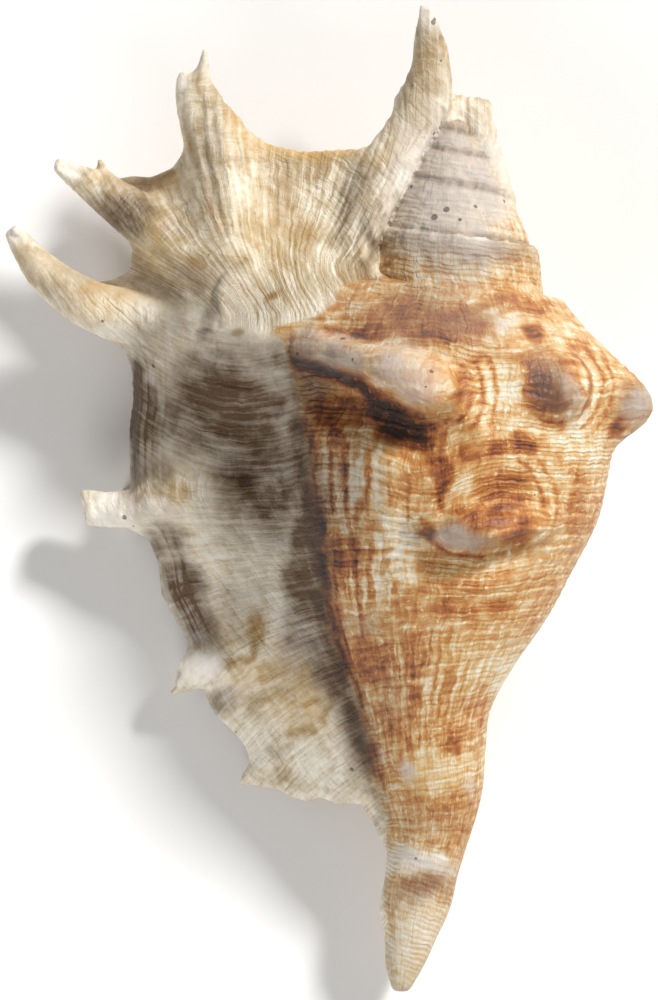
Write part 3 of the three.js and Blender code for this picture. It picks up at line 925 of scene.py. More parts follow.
def relief(points, normals):
    lip = lip_share(points)
    worn_and_highlight = spots(points, CHALK_AND_HIGHLIGHT_SPOTS)
    outside = ramp(normals[:, 2], -0.35, 0.15)
    height = lip * lip_relief(points) + (1 - lip) * whorl_relief(points, worn_and_highlight)
    height = height + folds(points) * ramp(normals[:, 2], 0.1, 0.4)
    height = height + (0.10 + 0.08 * lip) * lumps(points, 3.4, 2.2)
    height = height + 0.09 * lumps(points, 1.5, 6.1) * (0.3 + worn_and_highlight + 0.3 * lip)
    return height * outside + 0.08 * lumps(points, 6.0, 8.8) * (1 - outside)


# %% [markdown]
# The raised points become one mesh. Its many small faces are thinned a little with Decimate, which
# keeps the form and stays under the triangle limit set below, and smooth shading hides the facets.

# %% Make the mesh
TRIANGLE_LIMIT = 190000


def mesh_object(name, points, faces):
    mesh = bpy.data.meshes.new(name)
    mesh.from_pydata((points * MM).tolist(), [], faces.tolist())
    mesh.update()
    piece = bpy.data.objects.new(name, mesh)
    bpy.context.scene.collection.objects.link(piece)
    return piece


def thinned(piece, limit):
    triangles = 2 * len(piece.data.polygons)
    if triangles <= limit:
        return piece
    reducer = piece.modifiers.new("thin", "DECIMATE")
    reducer.ratio = limit / triangles
    shown = bpy.context.evaluated_depsgraph_get()
    fewer = bpy.data.meshes.new_from_object(piece.evaluated_get(shown))
    piece.modifiers.clear()
    piece.data = fewer
    return piece


NORMALS = point_normals(POINTS, FACES)
RELIEF = relief(POINTS, NORMALS)
RAISED = POINTS + NORMALS * RELIEF[:, None]
RAISED[:, 2] = np.maximum(RAISED[:, 2], 0.0)
print("relief from", RELIEF.min().round(2), "to", RELIEF.max().round(2), "mm")
shell = thinned(mesh_object("shell_surface", RAISED, FACES), TRIANGLE_LIMIT)
shell.data.shade_smooth()
print("triangles:", sum(len(p.vertices) - 2 for p in shell.data.polygons))

# %% [markdown]
# Colour on a shell follows its growth: the mantle lays pigment in spots that come and go as the edge
# moves on. The broad zones of this shell are soft spots, kept as one number per mesh point. The fine
# streaks and cords inside the zones are left to the finish's nodes.
# Some zones are painted shade, partly mixed with brown pigment or stain: the dark stain spots, the valley
# band, the lines below the knobs and the smear down the shoulder knob's left side. One chalk spot on the
# shoulder knob is a painted highlight.

# %% Where the pigment and the painted shade lie
# The darkest spots below the crown knob, near x 1 to 14 and y 15 to 18, and the smear down the shoulder
# knob's left side near x 42 carry painted shade as well as brown pigment.
# x, y, half width, half height, turn in degrees, strength
PIGMENT_SPOTS = [
    (19, 36.4, 19, 7, -3, 0.72), (37, 38.4, 9, 3, -14, 0.7), (40, 33, 3, 2.6, -20, 0.8),
    (50, 31, 4, 8, 30, 0.56), (26.2, 22, 2.2, 7, 8, 0.8), (42, 22, 4.4, 9.4, 25, 0.86),
    (50.6, 21, 1.6, 5, 0, 0.7), (58.6, 14.2, 2.6, 2, 20, 0.85), (13.6, 15.6, 10, 5, -26, 1.1),
    (6, 33.8, 9, 1.2, -6, 0.9), (21, 31.6, 6, 1.5, -28, 0.86), (2.4, 18, 9, 5, -12, 0.76),
    (21.4, 5, 3, 9, 21, 0.88), (34, 3, 8, 4, 0, 0.74), (30, 9.6, 10, 2.6, 4, 0.7),
    (38, 11, 5, 3, 10, 0.82), (1.4, 15, 5, 6, 0, 0.72), (4, -12, 6, 8, 0, 0.74),
    (6, -1.6, 4, 2, 0, 0.85), (32.6, -2.4, 9.4, 3.6, 4, 0.78), (38, -6, 5, 4, 0, 0.76),
    (19, -5, 3, 2.4, 0, 0.8), (24, -22.4, 25, 3.4, 2, 0.6), (26, -16.6, 14, 3, 2, 0.62),
    (9, -33, 6, 8, 10, 0.74), (16.6, -35, 3.6, 10, 4, 0.66), (28, -32, 9, 6, 0, 0.38),
    (26, -46.6, 7, 4.2, 10, 0.58), (24.6, -49, 2.8, 1.9, 0, 0.78), (12, -46, 4.4, 10, 20, 0.6),
    (24, -61, 7, 5, 0, 0.62), (21, -65, 7, 4, 0, 0.46), (50, -1, 5, 11, 0, 0.58),
    (19.4, -78, 7, 2.6, 12, 0.66), (38, -36, 3, 10, -28, 0.7),
]
PALE_SPOTS = [
    (33, 36.2, 5.5, 1.7, -6, 0.75), (50, 12, 6, 5, -40, 0.5), (46, 34, 4, 2, -20, 0.6),
    (32, 22.6, 5.4, 5.4, 0, 0.9), (27, 4, 3.6, 2.4, 0, 0.7), (13.6, -8, 4.4, 5.4, 0, 0.9),
    (30, -12.6, 10, 1.2, 2, 0.35), (14, -15.4, 3, 2.6, 0, 0.7), (33, -33, 7, 5, 0, 0.55),
    (6, 5, 8, 8, 0, 0.5), (36, 36, 5, 1.6, -20, 0.3), (20, -92, 8, 12, 0, 1), (18, -73, 8, 3, 0, 1),
    (24, 60, 18, 16, 0, 0.8), (22, -55, 5, 4, 0, 0.6), (20, -84, 5, 4, 0, 0.7),
    (54, 24, 3, 6, 0, 0.6),
]
# The mauve smear down the shoulder knob's left side, near x 44 and y 23, is mauve colour and painted shade.
MAUVE_SPOTS = [
    (19, 36.6, 18, 6.6, -4, 0.95), (9, 26, 12, 2.4, -12, 0.5), (44, 23.4, 4.4, 8, 25, 1),
    (62, 19, 4, 4.6, 0, 0.85), (26.6, -6.8, 7, 2.6, -4, 0.75), (20.5, -65, 6, 4, 0, 0.3),
    (12, -40, 4, 5, 0, 0.3), (0, 1, 5, 7, 0, 0.25), (19, -78.6, 7, 3.6, 20, 1),
    (6.2, -25, 3.6, 2.4, 0, 0.5), (25, 50.6, 17, 2.6, -6, 0.85), (-37, -0.6, 7, 4, 0, 0.3),
    (24, 62, 12, 16, 0, 0.3), (-23.6, 60, 2, 8, 10, 0.45), (-9, 62, 4, 6, 0, 0.3),
    (-29, 56, 4, 4, 0, 0.3), (12, 62, 2, 10, -20, 0.5), (-26, 44, 5, 4, 0, 0.3),
    (-7.6, -31, 5, 4, 0, 0.5),
]
TAN_SPOTS = [
    (-3.6, 70, 16, 2.6, 0, 1), (-15.4, 71.4, 4, 3.4, -30, 0.9), (-18.4, 76, 2, 6, 10, 0.7),
    (-36.4, 63.4, 9, 2.6, -6, 0.95), (-46.6, 43.4, 6, 2, 20, 0.85), (21, -54.6, 7, 4, 0, 0.8),
    (18.4, -92, 4, 7, -10, 0.9), (22, -85, 3, 4, 0, 0.7), (18.8, 85, 3.6, 8, 0, 0.65),
    (28, -32, 9, 6, 0, 0.35), (12, 70, 6, 4, 0, 0.5), (-35, 52, 3, 8, 0, 0.6),
    (17, -98, 3, 1.6, 0, 0.9), (-12, 55, 9, 9, 0, 0.28), (-28, 50, 5, 4, 0, 0.4),
    (-3.6, -41, 7, 7, 20, 0.85), (-22, -26, 4, 5, 20, 0.4), (-44, 42, 14, 5, 40, 0.35),
    (-12, -35, 8, 4, 20, 0.6), (-15, -26, 4, 4, 0, 0.35), (-33, 6, 5, 8, 0, 0.3),
]
# Spots of painted shade, with some brown stain, that multiply the skin darker: below the crown knob, on the
# lip under the upper fingers, down the left wall and the flanges by the stubs, beside the valley, by the
# shoulder and lower knobs and near the spire.
SHADE_AND_STAIN_SPOTS = [
    (-6, 24, 9, 9, 0, 1), (-20, 19, 17, 13, 0, 1.35), (-13, 3, 14, 16, 0, 1.15),
    (1, -36, 4.4, 14, 22, 1.1), (-34, 32, 8, 5, 20, 0.5), (4, 2, 7, 12, 0, 0.5),
    (60, 19, 5, 5, 0, 0.25), (43, 20, 5, 5, 0, 0.55), (27, -7, 6, 3, 0, 0.35),
    (24, 49, 17, 6, -4, 0.4), (-16, -20, 10, 8, 0, 0.5), (-24, 72, 5, 9, 0, 0.4),
    (19, 88, 4, 12, 0, 0.4), (24, 60, 14, 18, 0, 0.16), (5, 60, 3, 9, -20, 0.6),
    (-41, 58, 9, 6, 40, 0.95), (-50, 44, 8, 5, 40, 0.3), (-18, 40, 8, 8, 0, 0.35),
    (-24, 34, 1.8, 7, -6, 0.85), (-37.6, 17, 4.4, 14, 0, 1.4), (-28.2, -20, 5, 11, 26, 1.2),
    (-22.6, -41, 4.4, 3, 20, 0.95), (-34, -8.6, 5, 4, 20, 0.95), (14, 15, 12, 4, -22, 0.55),
    (-4.4, -12, 6, 19, -4, 1.3), (-34, 14, 4, 13, 0, 0.9), (8.6, 52, 1.8, 7, 0, 0.8),
    (18.4, -5.4, 3, 2.4, 0, 0.75), (10.6, -60, 2, 8, 12, 0.5), (-9, 30, 3, 3, 0, 0.7),
    (-19, 30, 3, 5, 0, 0.45), (12.6, 57, 1.2, 6, -16, 0.5),
]
SPECKS = [
    (-17.4, 2.4, 0.9, 2.2, 20, 1), (-9.8, 4, 0.7, 2.4, 0, 0.8), (-13.6, -26.6, 0.8, 2.6, 5, 1),
    (-8, -28.6, 1.2, 1.2, 0, 0.7), (-16.6, -32, 2, 1.2, 0, 0.7), (-47, -0.4, 0.7, 1, 0, 0.8),
    (-38, 1, 0.8, 0.8, 0, 0.7), (-18.4, 33.6, 1.6, 1, 40, 0.7), (-15, -27, 1.4, 3, 10, 0.9),
    (-9, -38, 9, 2.2, 25, 0.6), (-5, -35.6, 1.4, 2.6, -30, 0.75), (-1.4, -43, 1.2, 2.6, -30, 0.85),
    (-6, -47, 3, 1.4, 20, 0.6), (-11.6, 40, 1.4, 0.7, 30, 0.7), (-43, 46, 2, 1.2, 30, 0.7),
    (-33, 65, 2.4, 1.2, 0, 0.6), (-3.6, -40.4, 1.4, 0.9, 20, 0.9), (-2.4, -44, 1.2, 1, 0, 0.9),
    (-17, 3, 0.7, 3, 28, 1), (-15, -30, 1, 2.4, 0, 1), (-19.6, -33, 1.2, 1, 0, 0.9),
    (-13, -35, 1.2, 3, -20, 0.6), (-9.4, 1.6, 0.8, 3, 8, 0.9), (-12, 1, 0.6, 2.4, 8, 0.7),
    (-31, -29.6, 0.8, 2, 0, 0.8), (-31, 1.6, 5, 1.6, 0, 0.5), (-1.6, 32.4, 0.8, 1.2, 0, 0.8),
]
STREAK_SPOTS = [
    (2, 4, 9, 16, 0, 1), (8, -14, 9, 10, 0, 0.9), (22, -34, 14, 10, 0, 0.9),
    (13, -48, 8, 10, 0, 0.6), (20, 36, 16, 5, 0, 0.55),
]
# strength, half width and line in plan of dark stripes: old growing edges on the whorl, painted shade
# with some brown along the lower edges of the crown, lower and shoulder knobs, and a brown line down
# from the crown knob's end
GROWTH_LINES_AND_KNOB_SHADE = [
    (0.95, 0.75, [(-3.9, 13), (-3.4, 6), (-3, -1)]), (0.95, 0.7, [(0.2, 15), (0.4, 6), (0.8, -2)]),
    (0.9, 0.8, [(3, 13), (3.3, 4), (3.8, -2)]), (0.7, 0.8, [(7.4, 10), (7.6, 2), (7.8, -3)]),
    (0.62, 0.7, [(11.8, 8), (12, -1)]), (0.7, 0.6, [(15.6, 6), (15.8, -4)]),
    (0.85, 0.7, [(1.2, -10), (1.4, -20), (3.6, -30), (7, -42)]),
    (0.7, 0.6, [(5.4, -14), (6.4, -26), (9.4, -38)]),
    (0.6, 0.6, [(10, -26), (11.6, -38), (14, -50)]),
    (0.6, 0.6, [(15, -26), (16, -38), (18.4, -50)]),
    (0.6, 0.6, [(20.6, -26), (21.2, -36), (22.4, -44)]), (0.55, 0.6, [(26, -27), (26.2, -38)]),
    (1.02, 2.1, [(-7.4, 27.6), (0, 25.4), (6, 23), (10, 19), (15, 15.4), (21, 14)]),
    (0.8, 0.8, [(18.6, -4), (20, -8), (24, -10.8), (31, -11.4)]),
    (0.72, 1.3, [(39, 22), (39.6, 18), (42.6, 15.6), (46, 15.2)]),
    (0.8, 1.2, [(23, 16), (22, 9), (21.4, 3), (22.6, -2)]),
]
# strength, middle x and y, reach, and first and last angle of the coloured cords round the knobs
CURLED_CORDS = [
    (0.78, 19.5, 21.5, 8.6, -70, 60), (0.72, 19.5, 21.5, 11.2, -60, 55),
    (0.62, 19.5, 21.5, 14, -50, 50), (0.7, 44, 22.6, 8, -60, 60), (0.66, 44, 22.6, 10.4, -70, 70),
    (0.62, 43, 22.6, 13.4, -60, 50), (0.72, 30, -2, 12.6, -20, 70), (0.62, 30, -2, 15, -30, 60),
]

CURLED_CORD_HALF_WIDTH = 0.75


def curled_cords(points):
    x = points[:, 0] + 0.5 * lumps(points, 3.4, 6.9)
    y = points[:, 1] + 0.5 * lumps(points, 3.4, 8.3)
    total = np.zeros(len(points))
    for strength, middle_x, middle_y, reach, first, last in CURLED_CORDS:
        away = np.hypot(x - middle_x, y - middle_y) - reach
        angle = np.degrees(np.arctan2(y - middle_y, x - middle_x))
        within = ramp(angle, first, first + 25) * (1 - ramp(angle, last - 25, last))
        total = np.maximum(total, strength * within * np.exp(-((away / CURLED_CORD_HALF_WIDTH) ** 2)))
    return total


def valley_brown_and_shade(points):
    """The broken band of brown pigment and painted shade on the whorl's side of the valley."""
    x, y = points[:, 0], points[:, 1]
    valley = through(VALLEY_LINE[:, 0], VALLEY_LINE[:, 1], y)
    broken = np.clip(0.85 + 0.6 * lumps(points, 3.4, 4.7), 0.3, 1)
    return broken * np.exp(-(((x - valley - 0.6) / 2.4) ** 2)) * (1 - ramp(y, 14, 24)) * ramp(y, -66, -54)


def valley_shade(points):
    """Painted greyish shade on the lip's side of the valley."""
    x, y = points[:, 0], points[:, 1]
    valley = through(VALLEY_LINE[:, 0], VALLEY_LINE[:, 1], y)
    return np.exp(-(((x - valley + 1.4) / 3.2) ** 2)) * (1 - ramp(y, 14, 24)) * ramp(y, -62, -50)


def growth_lines_and_knob_shade(points):
    x = points[:, 0] + 0.35 * lumps(points, 2.6, 3.9)
    y = points[:, 1]
    total = np.zeros(len(points))
    for strength, half_width, line in GROWTH_LINES_AND_KNOB_SHADE:
        total = np.maximum(total, strength * np.exp(-((line_distance(x, y, line) / half_width) ** 2)))
    return total


def wandered(points, by):
    shift = np.stack([lumps(points, 5, 1.1), lumps(points, 5, 2.1), np.zeros(len(points))], axis=1)
    fine = np.stack([lumps(points, 1.8, 3.7), lumps(points, 1.8, 4.9), np.zeros(len(points))], axis=1)
    return points + by * (shift + 0.45 * fine)


def pigment_on_whorl(points):
    loose = wandered(points, 2.0)
    amount = 0.45 + 0.08 * lumps(points, 8, 0.5)
    amount = np.maximum(amount, spots(loose, PIGMENT_SPOTS))
    amount = np.maximum(amount, 0.95 * valley_brown_and_shade(points))
    amount = amount * (1 - 0.75 * spots(loose, PALE_SPOTS))
    return np.maximum(amount, np.maximum(growth_lines_and_knob_shade(points), curled_cords(points)))


def pigment_on_lip(points):
    on_fan = ramp(points[:, 1], 34, 44)
    specks = spots(wandered(points, 1.5), SPECKS)
    # The lip's edge of the valley takes part of the same band, as painted shade and brown.
    return 0.12 + 0.19 * on_fan + 0.12 * lumps(points, 9, 3.1) + 0.52 * specks + 0.6 * valley_brown_and_shade(points)


def paint(points, normals):
    x, y, z = points.T
    lip = lip_share(points)
    loose = wandered(points, 1.6)
    whorl_across, whorl_around = whorl_directions(points)
    lip_across, lip_around = lip_directions(points)
    # painted shade in the suture groove of the spire
    seam = ramp(y, 42, 46) * (1 - lip) * np.exp(-((suture_distance(x, y, z) / 0.8) ** 2))
    # painted shade and brown stain, from the spots and from the painted shade beside the valley
    shade_and_stain = np.maximum(spots(loose, SHADE_AND_STAIN_SPOTS), 1.25 * valley_shade(points))
    from_switch = y - (FAN_BOTTOM_Y - FAN_LEAN * (x - LIP_CORNER[0]))
    return {
        "lip": lip,
        "pigment": lip * pigment_on_lip(points) + (1 - lip) * pigment_on_whorl(points),
        "mauve": spots(loose, MAUVE_SPOTS),
        "chalk_and_highlight": spots(loose, CHALK_AND_HIGHLIGHT_SPOTS),
        "tan": spots(loose, TAN_SPOTS) * np.maximum(lip, ramp(-y, 18, 26)),
        "shade_and_stain": np.maximum(shade_and_stain, 0.6 * seam),
        "streaky": np.maximum(spots(loose, STREAK_SPOTS), 0.25),
        "fan": ramp(from_switch, -1, 3),
        "switch": np.exp(-((from_switch / 1.8) ** 2)),
        "rim": outline_distance(x, y, LIP_OUTLINE),
        "underside": ramp(-normals[:, 2], 0.15, 0.6),
        "whorl_across": whorl_across,
        "whorl_around": whorl_around,
        "lip_across": lip_across,
        "lip_around": lip_around,
    }


def put_numbers(mesh, numbers):
    for name, values in numbers.items():
        layer = mesh.attributes.new(name, "FLOAT", "POINT")
        layer.data.foreach_set("value", values.astype(np.float32))


def mesh_arrays(mesh):
    points = np.empty(len(mesh.vertices) * 3)
    normals = np.empty(len(mesh.vertices) * 3)
    mesh.vertices.foreach_get("co", points)
    mesh.vertices.foreach_get("normal", normals)
    return points.reshape(-1, 3) / MM, normals.reshape(-1, 3)


put_numbers(shell.data, paint(*mesh_arrays(shell.data)))
print("paint layers:", [layer.name for layer in shell.data.attributes if layer.data_type == "FLOAT"])

# %% [markdown]
# The finish is one material for the whole shell, because it is one stuff: lime, worn dull outside and
# glazed inside. A small class keeps the node code short. Each call adds a node, sets its values and
# links its inputs.

# %% Node helpers
def colour(code):
    """Hex sRGB to the linear values that Blender's sockets take."""
    parts = [int(code[i:i + 2], 16) / 255 for i in (1, 3, 5)]
    return tuple(p / 12.92 if p <= 0.04045 else ((p + 0.055) / 1.055) ** 2.4 for p in parts) + (1.0,)


class Nodes:
    """Adds nodes to one tree, with values or links for their inputs."""

    def __init__(self, tree):
        self.tree = tree

    def add(self, kind, inputs=None, output=0, **settings):
        node = self.tree.nodes.new(kind)
        for key, value in settings.items():
            setattr(node, key, value)
        for key, value in (inputs or {}).items():
            self.put(node.inputs[key], value)
        return node.outputs[output]

    def put(self, socket, value):
        if isinstance(value, bpy.types.NodeSocket):
            self.tree.links.new(value, socket)
        else:
            socket.default_value = value

    def number(self, name):
        return self.add("ShaderNodeAttribute", output="Fac", attribute_name=name)

    def maths(self, operation, *values, clamp=False):
        return self.add("ShaderNodeMath", dict(enumerate(values)), operation=operation, use_clamp=clamp)

    def total(self, *values):
        result = values[0]
        for value in values[1:]:
            result = self.maths("ADD", result, value)
        return result

    def swing(self, value, amount):
        """A value around 0.5 turned into a swing around 0."""
        return self.maths("MULTIPLY", self.maths("SUBTRACT", value, 0.5), amount)

    def step(self, value, low, high):
        return self.add("ShaderNodeMapRange", {0: value, 1: low, 2: high}, interpolation_type="SMOOTHSTEP")

    def mix(self, share, first, second, blend="MIX"):
        node = self.tree.nodes.new("ShaderNodeMix")
        node.data_type = "RGBA"
        node.blend_type = blend
        for name, value in (("Factor", share), ("A", first), ("B", second)):
            self.put([i for i in node.inputs if i.name == name and i.enabled][0], value)
        return [o for o in node.outputs if o.enabled][0]

    def ramp(self, value, stops):
        node = self.tree.nodes.new("ShaderNodeValToRGB")
        elements = node.color_ramp.elements
        while len(elements) < len(stops):
            elements.new(0.5)
        for element, (place, code) in zip(elements, stops):
            element.position = place
            element.color = colour(code)
        self.tree.links.new(value, node.inputs["Fac"])
        return node.outputs["Color"]


# %% [markdown]
# Streaks lie along the growing edge and cords cross them. Both come from plain noise and waves read
# on the two lengths: noise squeezed one way gives streaks, squeezed the other way it gives dashes
# along the cords. A slow wander bends both, because straight lines would look woven.

# %% Streaks, dashes and cords
def length_noise(n, across, around, across_size, around_size, detail=3.0, shift=0.0):
    """Noise with its own size along each of the shell's two lengths."""
    u = n.maths("DIVIDE", around, around_size)
    v = n.maths("DIVIDE", across, across_size)
    place = n.add("ShaderNodeCombineXYZ", {"X": u, "Y": v, "Z": shift})
    return n.add("ShaderNodeTexNoise", {"Vector": place, "Scale": 1.0, "Detail": detail, "Roughness": 0.6})


def cord_wave(n, across, gap):
    turned = n.maths("MULTIPLY", across, 2 * np.pi / gap)
    return n.maths("MULTIPLY_ADD", n.maths("COSINE", turned), 0.5, 0.5)


def wandering(n, length, noise, reach):
    return n.maths("ADD", length, n.swing(noise, reach))


# %% [markdown]
# A colour ramp turns the amount of pigment into cream, amber, orange and brown, as a thicker layer of
# the same pigment looks; in the valley and below the knobs the amount also carries painted shade.
# Mauve, tan and chalk zones are mixed over it, and painted shade with some dark stain multiplies it.

# %% Colours of the whorl and the lip
WHORL_COLOURS = [
    (0.0, "#EAE4D8"), (0.2, "#E2D5BB"), (0.36, "#D3B382"), (0.5, "#C18D4F"), (0.64, "#AC6A32"),
    (0.8, "#87481E"), (0.94, "#552B13"), (1.0, "#351B0C"),
]
LIP_COLOURS = [
    (0.0, "#F1EADB"), (0.18, "#DED2BB"), (0.36, "#BEAC8C"), (0.55, "#A48557"), (0.78, "#96602C"),
    (1.0, "#643C1C"),
]


def whorl_colour(n, across, around, clouds, speckle):
    streaks = n.step(length_noise(n, across, around, 15.0, 1.9), 0.38, 0.62)
    fine_streaks = length_noise(n, across, around, 6.0, 0.7, shift=3.0)
    blotches = length_noise(n, across, around, 3.2, 4.4, detail=4.0, shift=8.0)
    dashes = length_noise(n, across, around, 1.0, 9.0, shift=4.0)
    freckles = n.step(length_noise(n, across, around, 1.3, 1.5, detail=1.0, shift=6.0), 0.6, 0.68)
    amount = n.total(
        n.number("pigment"),
        n.maths("MULTIPLY", n.swing(streaks, 0.34), n.number("streaky")),
        n.swing(fine_streaks, 0.28),
        n.swing(blotches, 0.72),
        n.swing(dashes, 0.42),
        n.swing(cord_wave(n, across, 2.1), -0.09),
        n.swing(clouds, 0.3),
        n.swing(speckle, 0.16),
        n.maths("MULTIPLY", freckles, -0.16),
    )
    return n.ramp(amount, WHORL_COLOURS)


def lip_colour(n, across, around, clouds, speckle):
    streaks = length_noise(n, across, around, 7.0, 2.2, shift=2.0)
    dashes = length_noise(n, across, around, 0.8, 8.0, shift=7.0)
    blotches = length_noise(n, across, around, 3.0, 4.0, detail=4.0, shift=5.0)
    fan_cords = n.maths("MULTIPLY", n.swing(cord_wave(n, across, 1.6), -0.1), n.number("fan"))
    calm = n.maths("SUBTRACT", 1.0, n.number("switch"))
    lines = n.total(n.swing(streaks, 0.42), n.swing(dashes, 0.6), n.swing(blotches, 0.6), fan_cords)
    amount = n.total(
        n.number("pigment"),
        n.maths("MULTIPLY", lines, calm),
        n.swing(clouds, 0.45),
        n.swing(speckle, 0.16),
    )
    return n.ramp(amount, LIP_COLOURS)


# %% [markdown]
# The painted zones are too clean by themselves. Clouds of noise break their edges up, and the painted
# shade and stain also run in lines along the cords and along the rim.

# %% Skin colour
def patchy(n, name, clouds, strength, contrast=1.6):
    """A painted zone broken up by clouds, from 0 to 1."""
    return n.maths("MULTIPLY", n.number(name), n.total(strength, n.swing(clouds, contrast)), clamp=True)


def shade_and_stain_amount(n, lengths, clouds):
    rim = n.number("rim")
    rim_lines = length_noise(n, rim, lengths[1], 0.9, 12.0, shift=1.0)
    stripes = n.maths("MULTIPLY", n.swing(rim_lines, 1.5), n.step(rim, -9.0, -4.0))
    flow = n.swing(length_noise(n, *lengths, 0.9, 14.0, shift=9.0), 1.0)
    share = n.total(1.0, stripes, flow)
    return n.maths("MULTIPLY", patchy(n, "shade_and_stain", clouds, 0.78, 0.9), share, clamp=True)


def skin_colour(n, on_whorl, on_lip, clouds, speckle, pit):
    lip = n.number("lip")
    whorl_skin = whorl_colour(n, *on_whorl, clouds, speckle)
    lip_skin = lip_colour(n, *on_lip, clouds, speckle)
    worn_and_highlight = n.mix(lip, colour("#C6BCB3"), colour("#F3EEE6"))
    glaze = n.mix(clouds, colour("#E3C39F"), colour("#F1E4D2"))
    skin = n.mix(lip, whorl_skin, lip_skin)
    skin = n.mix(patchy(n, "tan", clouds, 0.6), skin, colour("#CDA660"))
    skin = n.mix(patchy(n, "mauve", clouds, 0.68, 1.0), skin, colour("#866858"))
    # Chalky worn lime, and one painted highlight on the shoulder knob, are mixed over the skin.
    skin = n.mix(patchy(n, "chalk_and_highlight", clouds, 0.8, 2.2), skin, worn_and_highlight)
    # Painted shade and brown stain multiply the skin towards dark brown.
    skin = n.mix(shade_and_stain_amount(n, on_lip, clouds), skin, colour("#5E421E"), "MULTIPLY")
    # Painted shade darkens the pits, which are holes only in the bump.
    skin = n.mix(n.maths("MULTIPLY", pit, 0.7), skin, colour("#3A2A1E"))
    return n.mix(n.number("underside"), skin, glaze)


# %% [markdown]
# The real surface is worn lime: the outside is dull with a faint silky sheen, chalky where the skin is
# gone, and pitted where small animals bored into it. The underside is glazed like china. Bump carries
# only what is finer than the mesh: cords a millimetre apart, growth lines, pits and grain.

# %% Shell finish
# how many lie in a metre: grains 1.1 mm, clouds 6.7 mm, drifts 3.8 mm, pits 3 mm and the patches
# they lie in 4.8 mm apart
GRAINS = 900.0
CLOUDS = 150.0
DRIFTS = 260.0
PITS = 330.0
PITTED_PATCHES = 210.0
BUMP_DEPTH = 0.26 * MM
DULL_ROUGHNESS = 0.44


def pits_on(n, place):
    """Small round holes in a few places, most of them in chalk, 1 inside and 0 outside."""
    cells = n.add("ShaderNodeTexVoronoi", {"Vector": place, "Scale": PITS}, output="Distance")
    where = n.add("ShaderNodeTexNoise", {"Vector": place, "Scale": PITTED_PATCHES, "Detail": 1.0})
    where = n.maths("MULTIPLY_ADD", n.number("chalk_and_highlight"), 0.14, where)
    limit = n.maths("MULTIPLY", n.maths("SUBTRACT", where, 0.57, clamp=True), 0.9)
    return n.maths("LESS_THAN", cells, limit)


def bent_lengths(n, form, drift, clouds, across_reach, around_reach):
    across = wandering(n, n.number(form + "_across"), drift, across_reach)
    around = wandering(n, n.number(form + "_around"), clouds, around_reach)
    return across, around


def dullness(n, speckle):
    dull = n.maths("MULTIPLY_ADD", n.number("chalk_and_highlight"), 0.25, DULL_ROUGHNESS)
    dull = n.maths("ADD", dull, n.swing(speckle, 0.3))
    return n.maths("MULTIPLY_ADD", n.number("underside"), -0.22, dull, clamp=True)


def fine_relief(n, on_whorl, on_lip, speckle, drift, pit):
    cords = n.swing(cord_wave(n, on_whorl[0], 1.05), 0.45)
    growth = n.swing(length_noise(n, *on_whorl, 10.0, 0.8, shift=1.5), 1.4)
    threads = n.swing(length_noise(n, *on_whorl, 0.7, 14.0, shift=2.5), 1.3)
    lip_growth = n.swing(length_noise(n, *on_lip, 8.0, 1.0, shift=3.5), 2.0)
    lip_threads = n.swing(length_noise(n, *on_lip, 0.7, 12.0, shift=4.5), 1.5)
    calm = n.maths("SUBTRACT", 1.0, n.number("switch"))
    whorl_height = n.total(cords, growth, threads)
    lip_height = n.maths("MULTIPLY", n.total(lip_growth, lip_threads), calm)
    shares = {"Factor": n.number("lip"), "A": whorl_height, "B": lip_height}
    height = n.add("ShaderNodeMix", shares, data_type="FLOAT")
    height = n.maths("MULTIPLY", height, n.maths("MULTIPLY_ADD", n.number("chalk_and_highlight"), -0.5, 1.0))
    height = n.total(height, n.swing(speckle, 0.8), n.swing(drift, 1.2), n.maths("MULTIPLY", pit, -1.0))
    return n.maths("MULTIPLY", height, n.maths("MULTIPLY_ADD", n.number("underside"), -0.85, 1.0))


def worn_shell_lime():
    material = bpy.data.materials.new("worn_shell_lime")
    material.use_nodes = True
    n = Nodes(material.node_tree)
    place = n.add("ShaderNodeTexCoord", output="Object")
    grain = {"Vector": place, "Scale": GRAINS, "Detail": 4.0, "Roughness": 0.65}
    speckle = n.add("ShaderNodeTexNoise", grain)
    clouds = n.add("ShaderNodeTexNoise", {**grain, "Scale": CLOUDS, "Detail": 5.0, "Roughness": 0.6})
    drift = n.add("ShaderNodeTexNoise", {"Vector": place, "Scale": DRIFTS, "Detail": 2.0})
    pit = pits_on(n, place)
    on_whorl = bent_lengths(n, "whorl", drift, clouds, 1.8, 5.0)
    on_lip = bent_lengths(n, "lip", drift, clouds, 1.2, 4.0)
    height = fine_relief(n, on_whorl, on_lip, speckle, drift, pit)
    bump = {"Height": height, "Strength": 1.0, "Distance": BUMP_DEPTH}
    shader = material.node_tree.nodes["Principled BSDF"]
    n.put(shader.inputs["Base Color"], skin_colour(n, on_whorl, on_lip, clouds, speckle, pit))
    n.put(shader.inputs["Roughness"], dullness(n, speckle))
    n.put(shader.inputs["Normal"], n.add("ShaderNodeBump", bump, output="Normal"))
    n.put(shader.inputs["Specular IOR Level"], 0.45)
    return material


shell.data.materials.clear()
shell.data.materials.append(worn_shell_lime())
print("finish nodes:", len(shell.data.materials[0].node_tree.nodes))

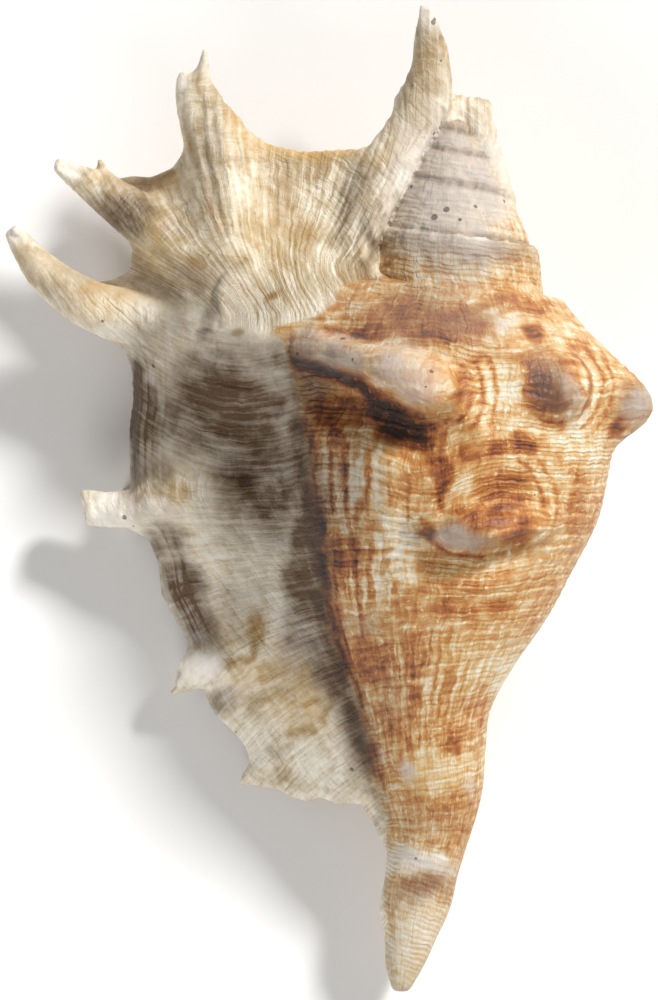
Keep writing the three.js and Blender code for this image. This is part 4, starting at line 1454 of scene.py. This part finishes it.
# %% [markdown]
# Daylight comes softly from the right and the spire's end, at 38 degrees, so that every knob shades
# its lower left side, as in the photo. A weak wide light from the canal's end and a dim room keep the
# shaded lip readable.

# %% Floor and light
KEY_PLACE = (1.72, 1.78, 1.95)
FILL_PLACE = (-0.3, -0.85, 0.6)
KEY_WATTS = 118
FILL_WATTS = 5.4
WARM_WHITE = (1.0, 0.985, 0.96)
ROOM_TINT = (1.0, 0.97, 0.93, 1)
ROOM_STRENGTH = 0.32
PAPER_WHITE = (0.86, 0.86, 0.86, 1)


def soft_light(name, place, aim, size, power, tint=(1, 1, 1)):
    lamp = bpy.data.lights.new(name, "AREA")
    lamp.size = size
    lamp.energy = power
    lamp.color = tint
    light = bpy.data.objects.new(name, lamp)
    light.location = place
    direction = Vector(aim) - Vector(place)
    light.rotation_euler = direction.to_track_quat("-Z", "Y").to_euler()
    bpy.context.scene.collection.objects.link(light)
    return light


def pale_floor():
    bpy.ops.mesh.primitive_plane_add(size=4.0, location=(0, 0, 0))
    floor = bpy.context.object
    floor.name = "floor"
    paper = bpy.data.materials.new("pale_floor_paint")
    paper.use_nodes = True
    shader = paper.node_tree.nodes["Principled BSDF"]
    shader.inputs["Base Color"].default_value = PAPER_WHITE
    shader.inputs["Roughness"].default_value = 0.9
    floor.data.materials.append(paper)
    return floor


def dim_room():
    room = bpy.data.worlds.new("soft_room")
    room.use_nodes = True
    background = room.node_tree.nodes["Background"]
    background.inputs["Color"].default_value = ROOM_TINT
    background.inputs["Strength"].default_value = ROOM_STRENGTH
    bpy.context.scene.world = room


bpy.context.scene.view_settings.view_transform = "Standard"
pale_floor()
soft_light("key_light", KEY_PLACE, (0, 0, 0.02), 0.5, KEY_WATTS, WARM_WHITE)
soft_light("fill_light", FILL_PLACE, (0, -0.06, 0.02), 0.6, FILL_WATTS)
dim_room()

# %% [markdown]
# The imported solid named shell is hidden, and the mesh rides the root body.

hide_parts("shell")
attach(shell, "root")
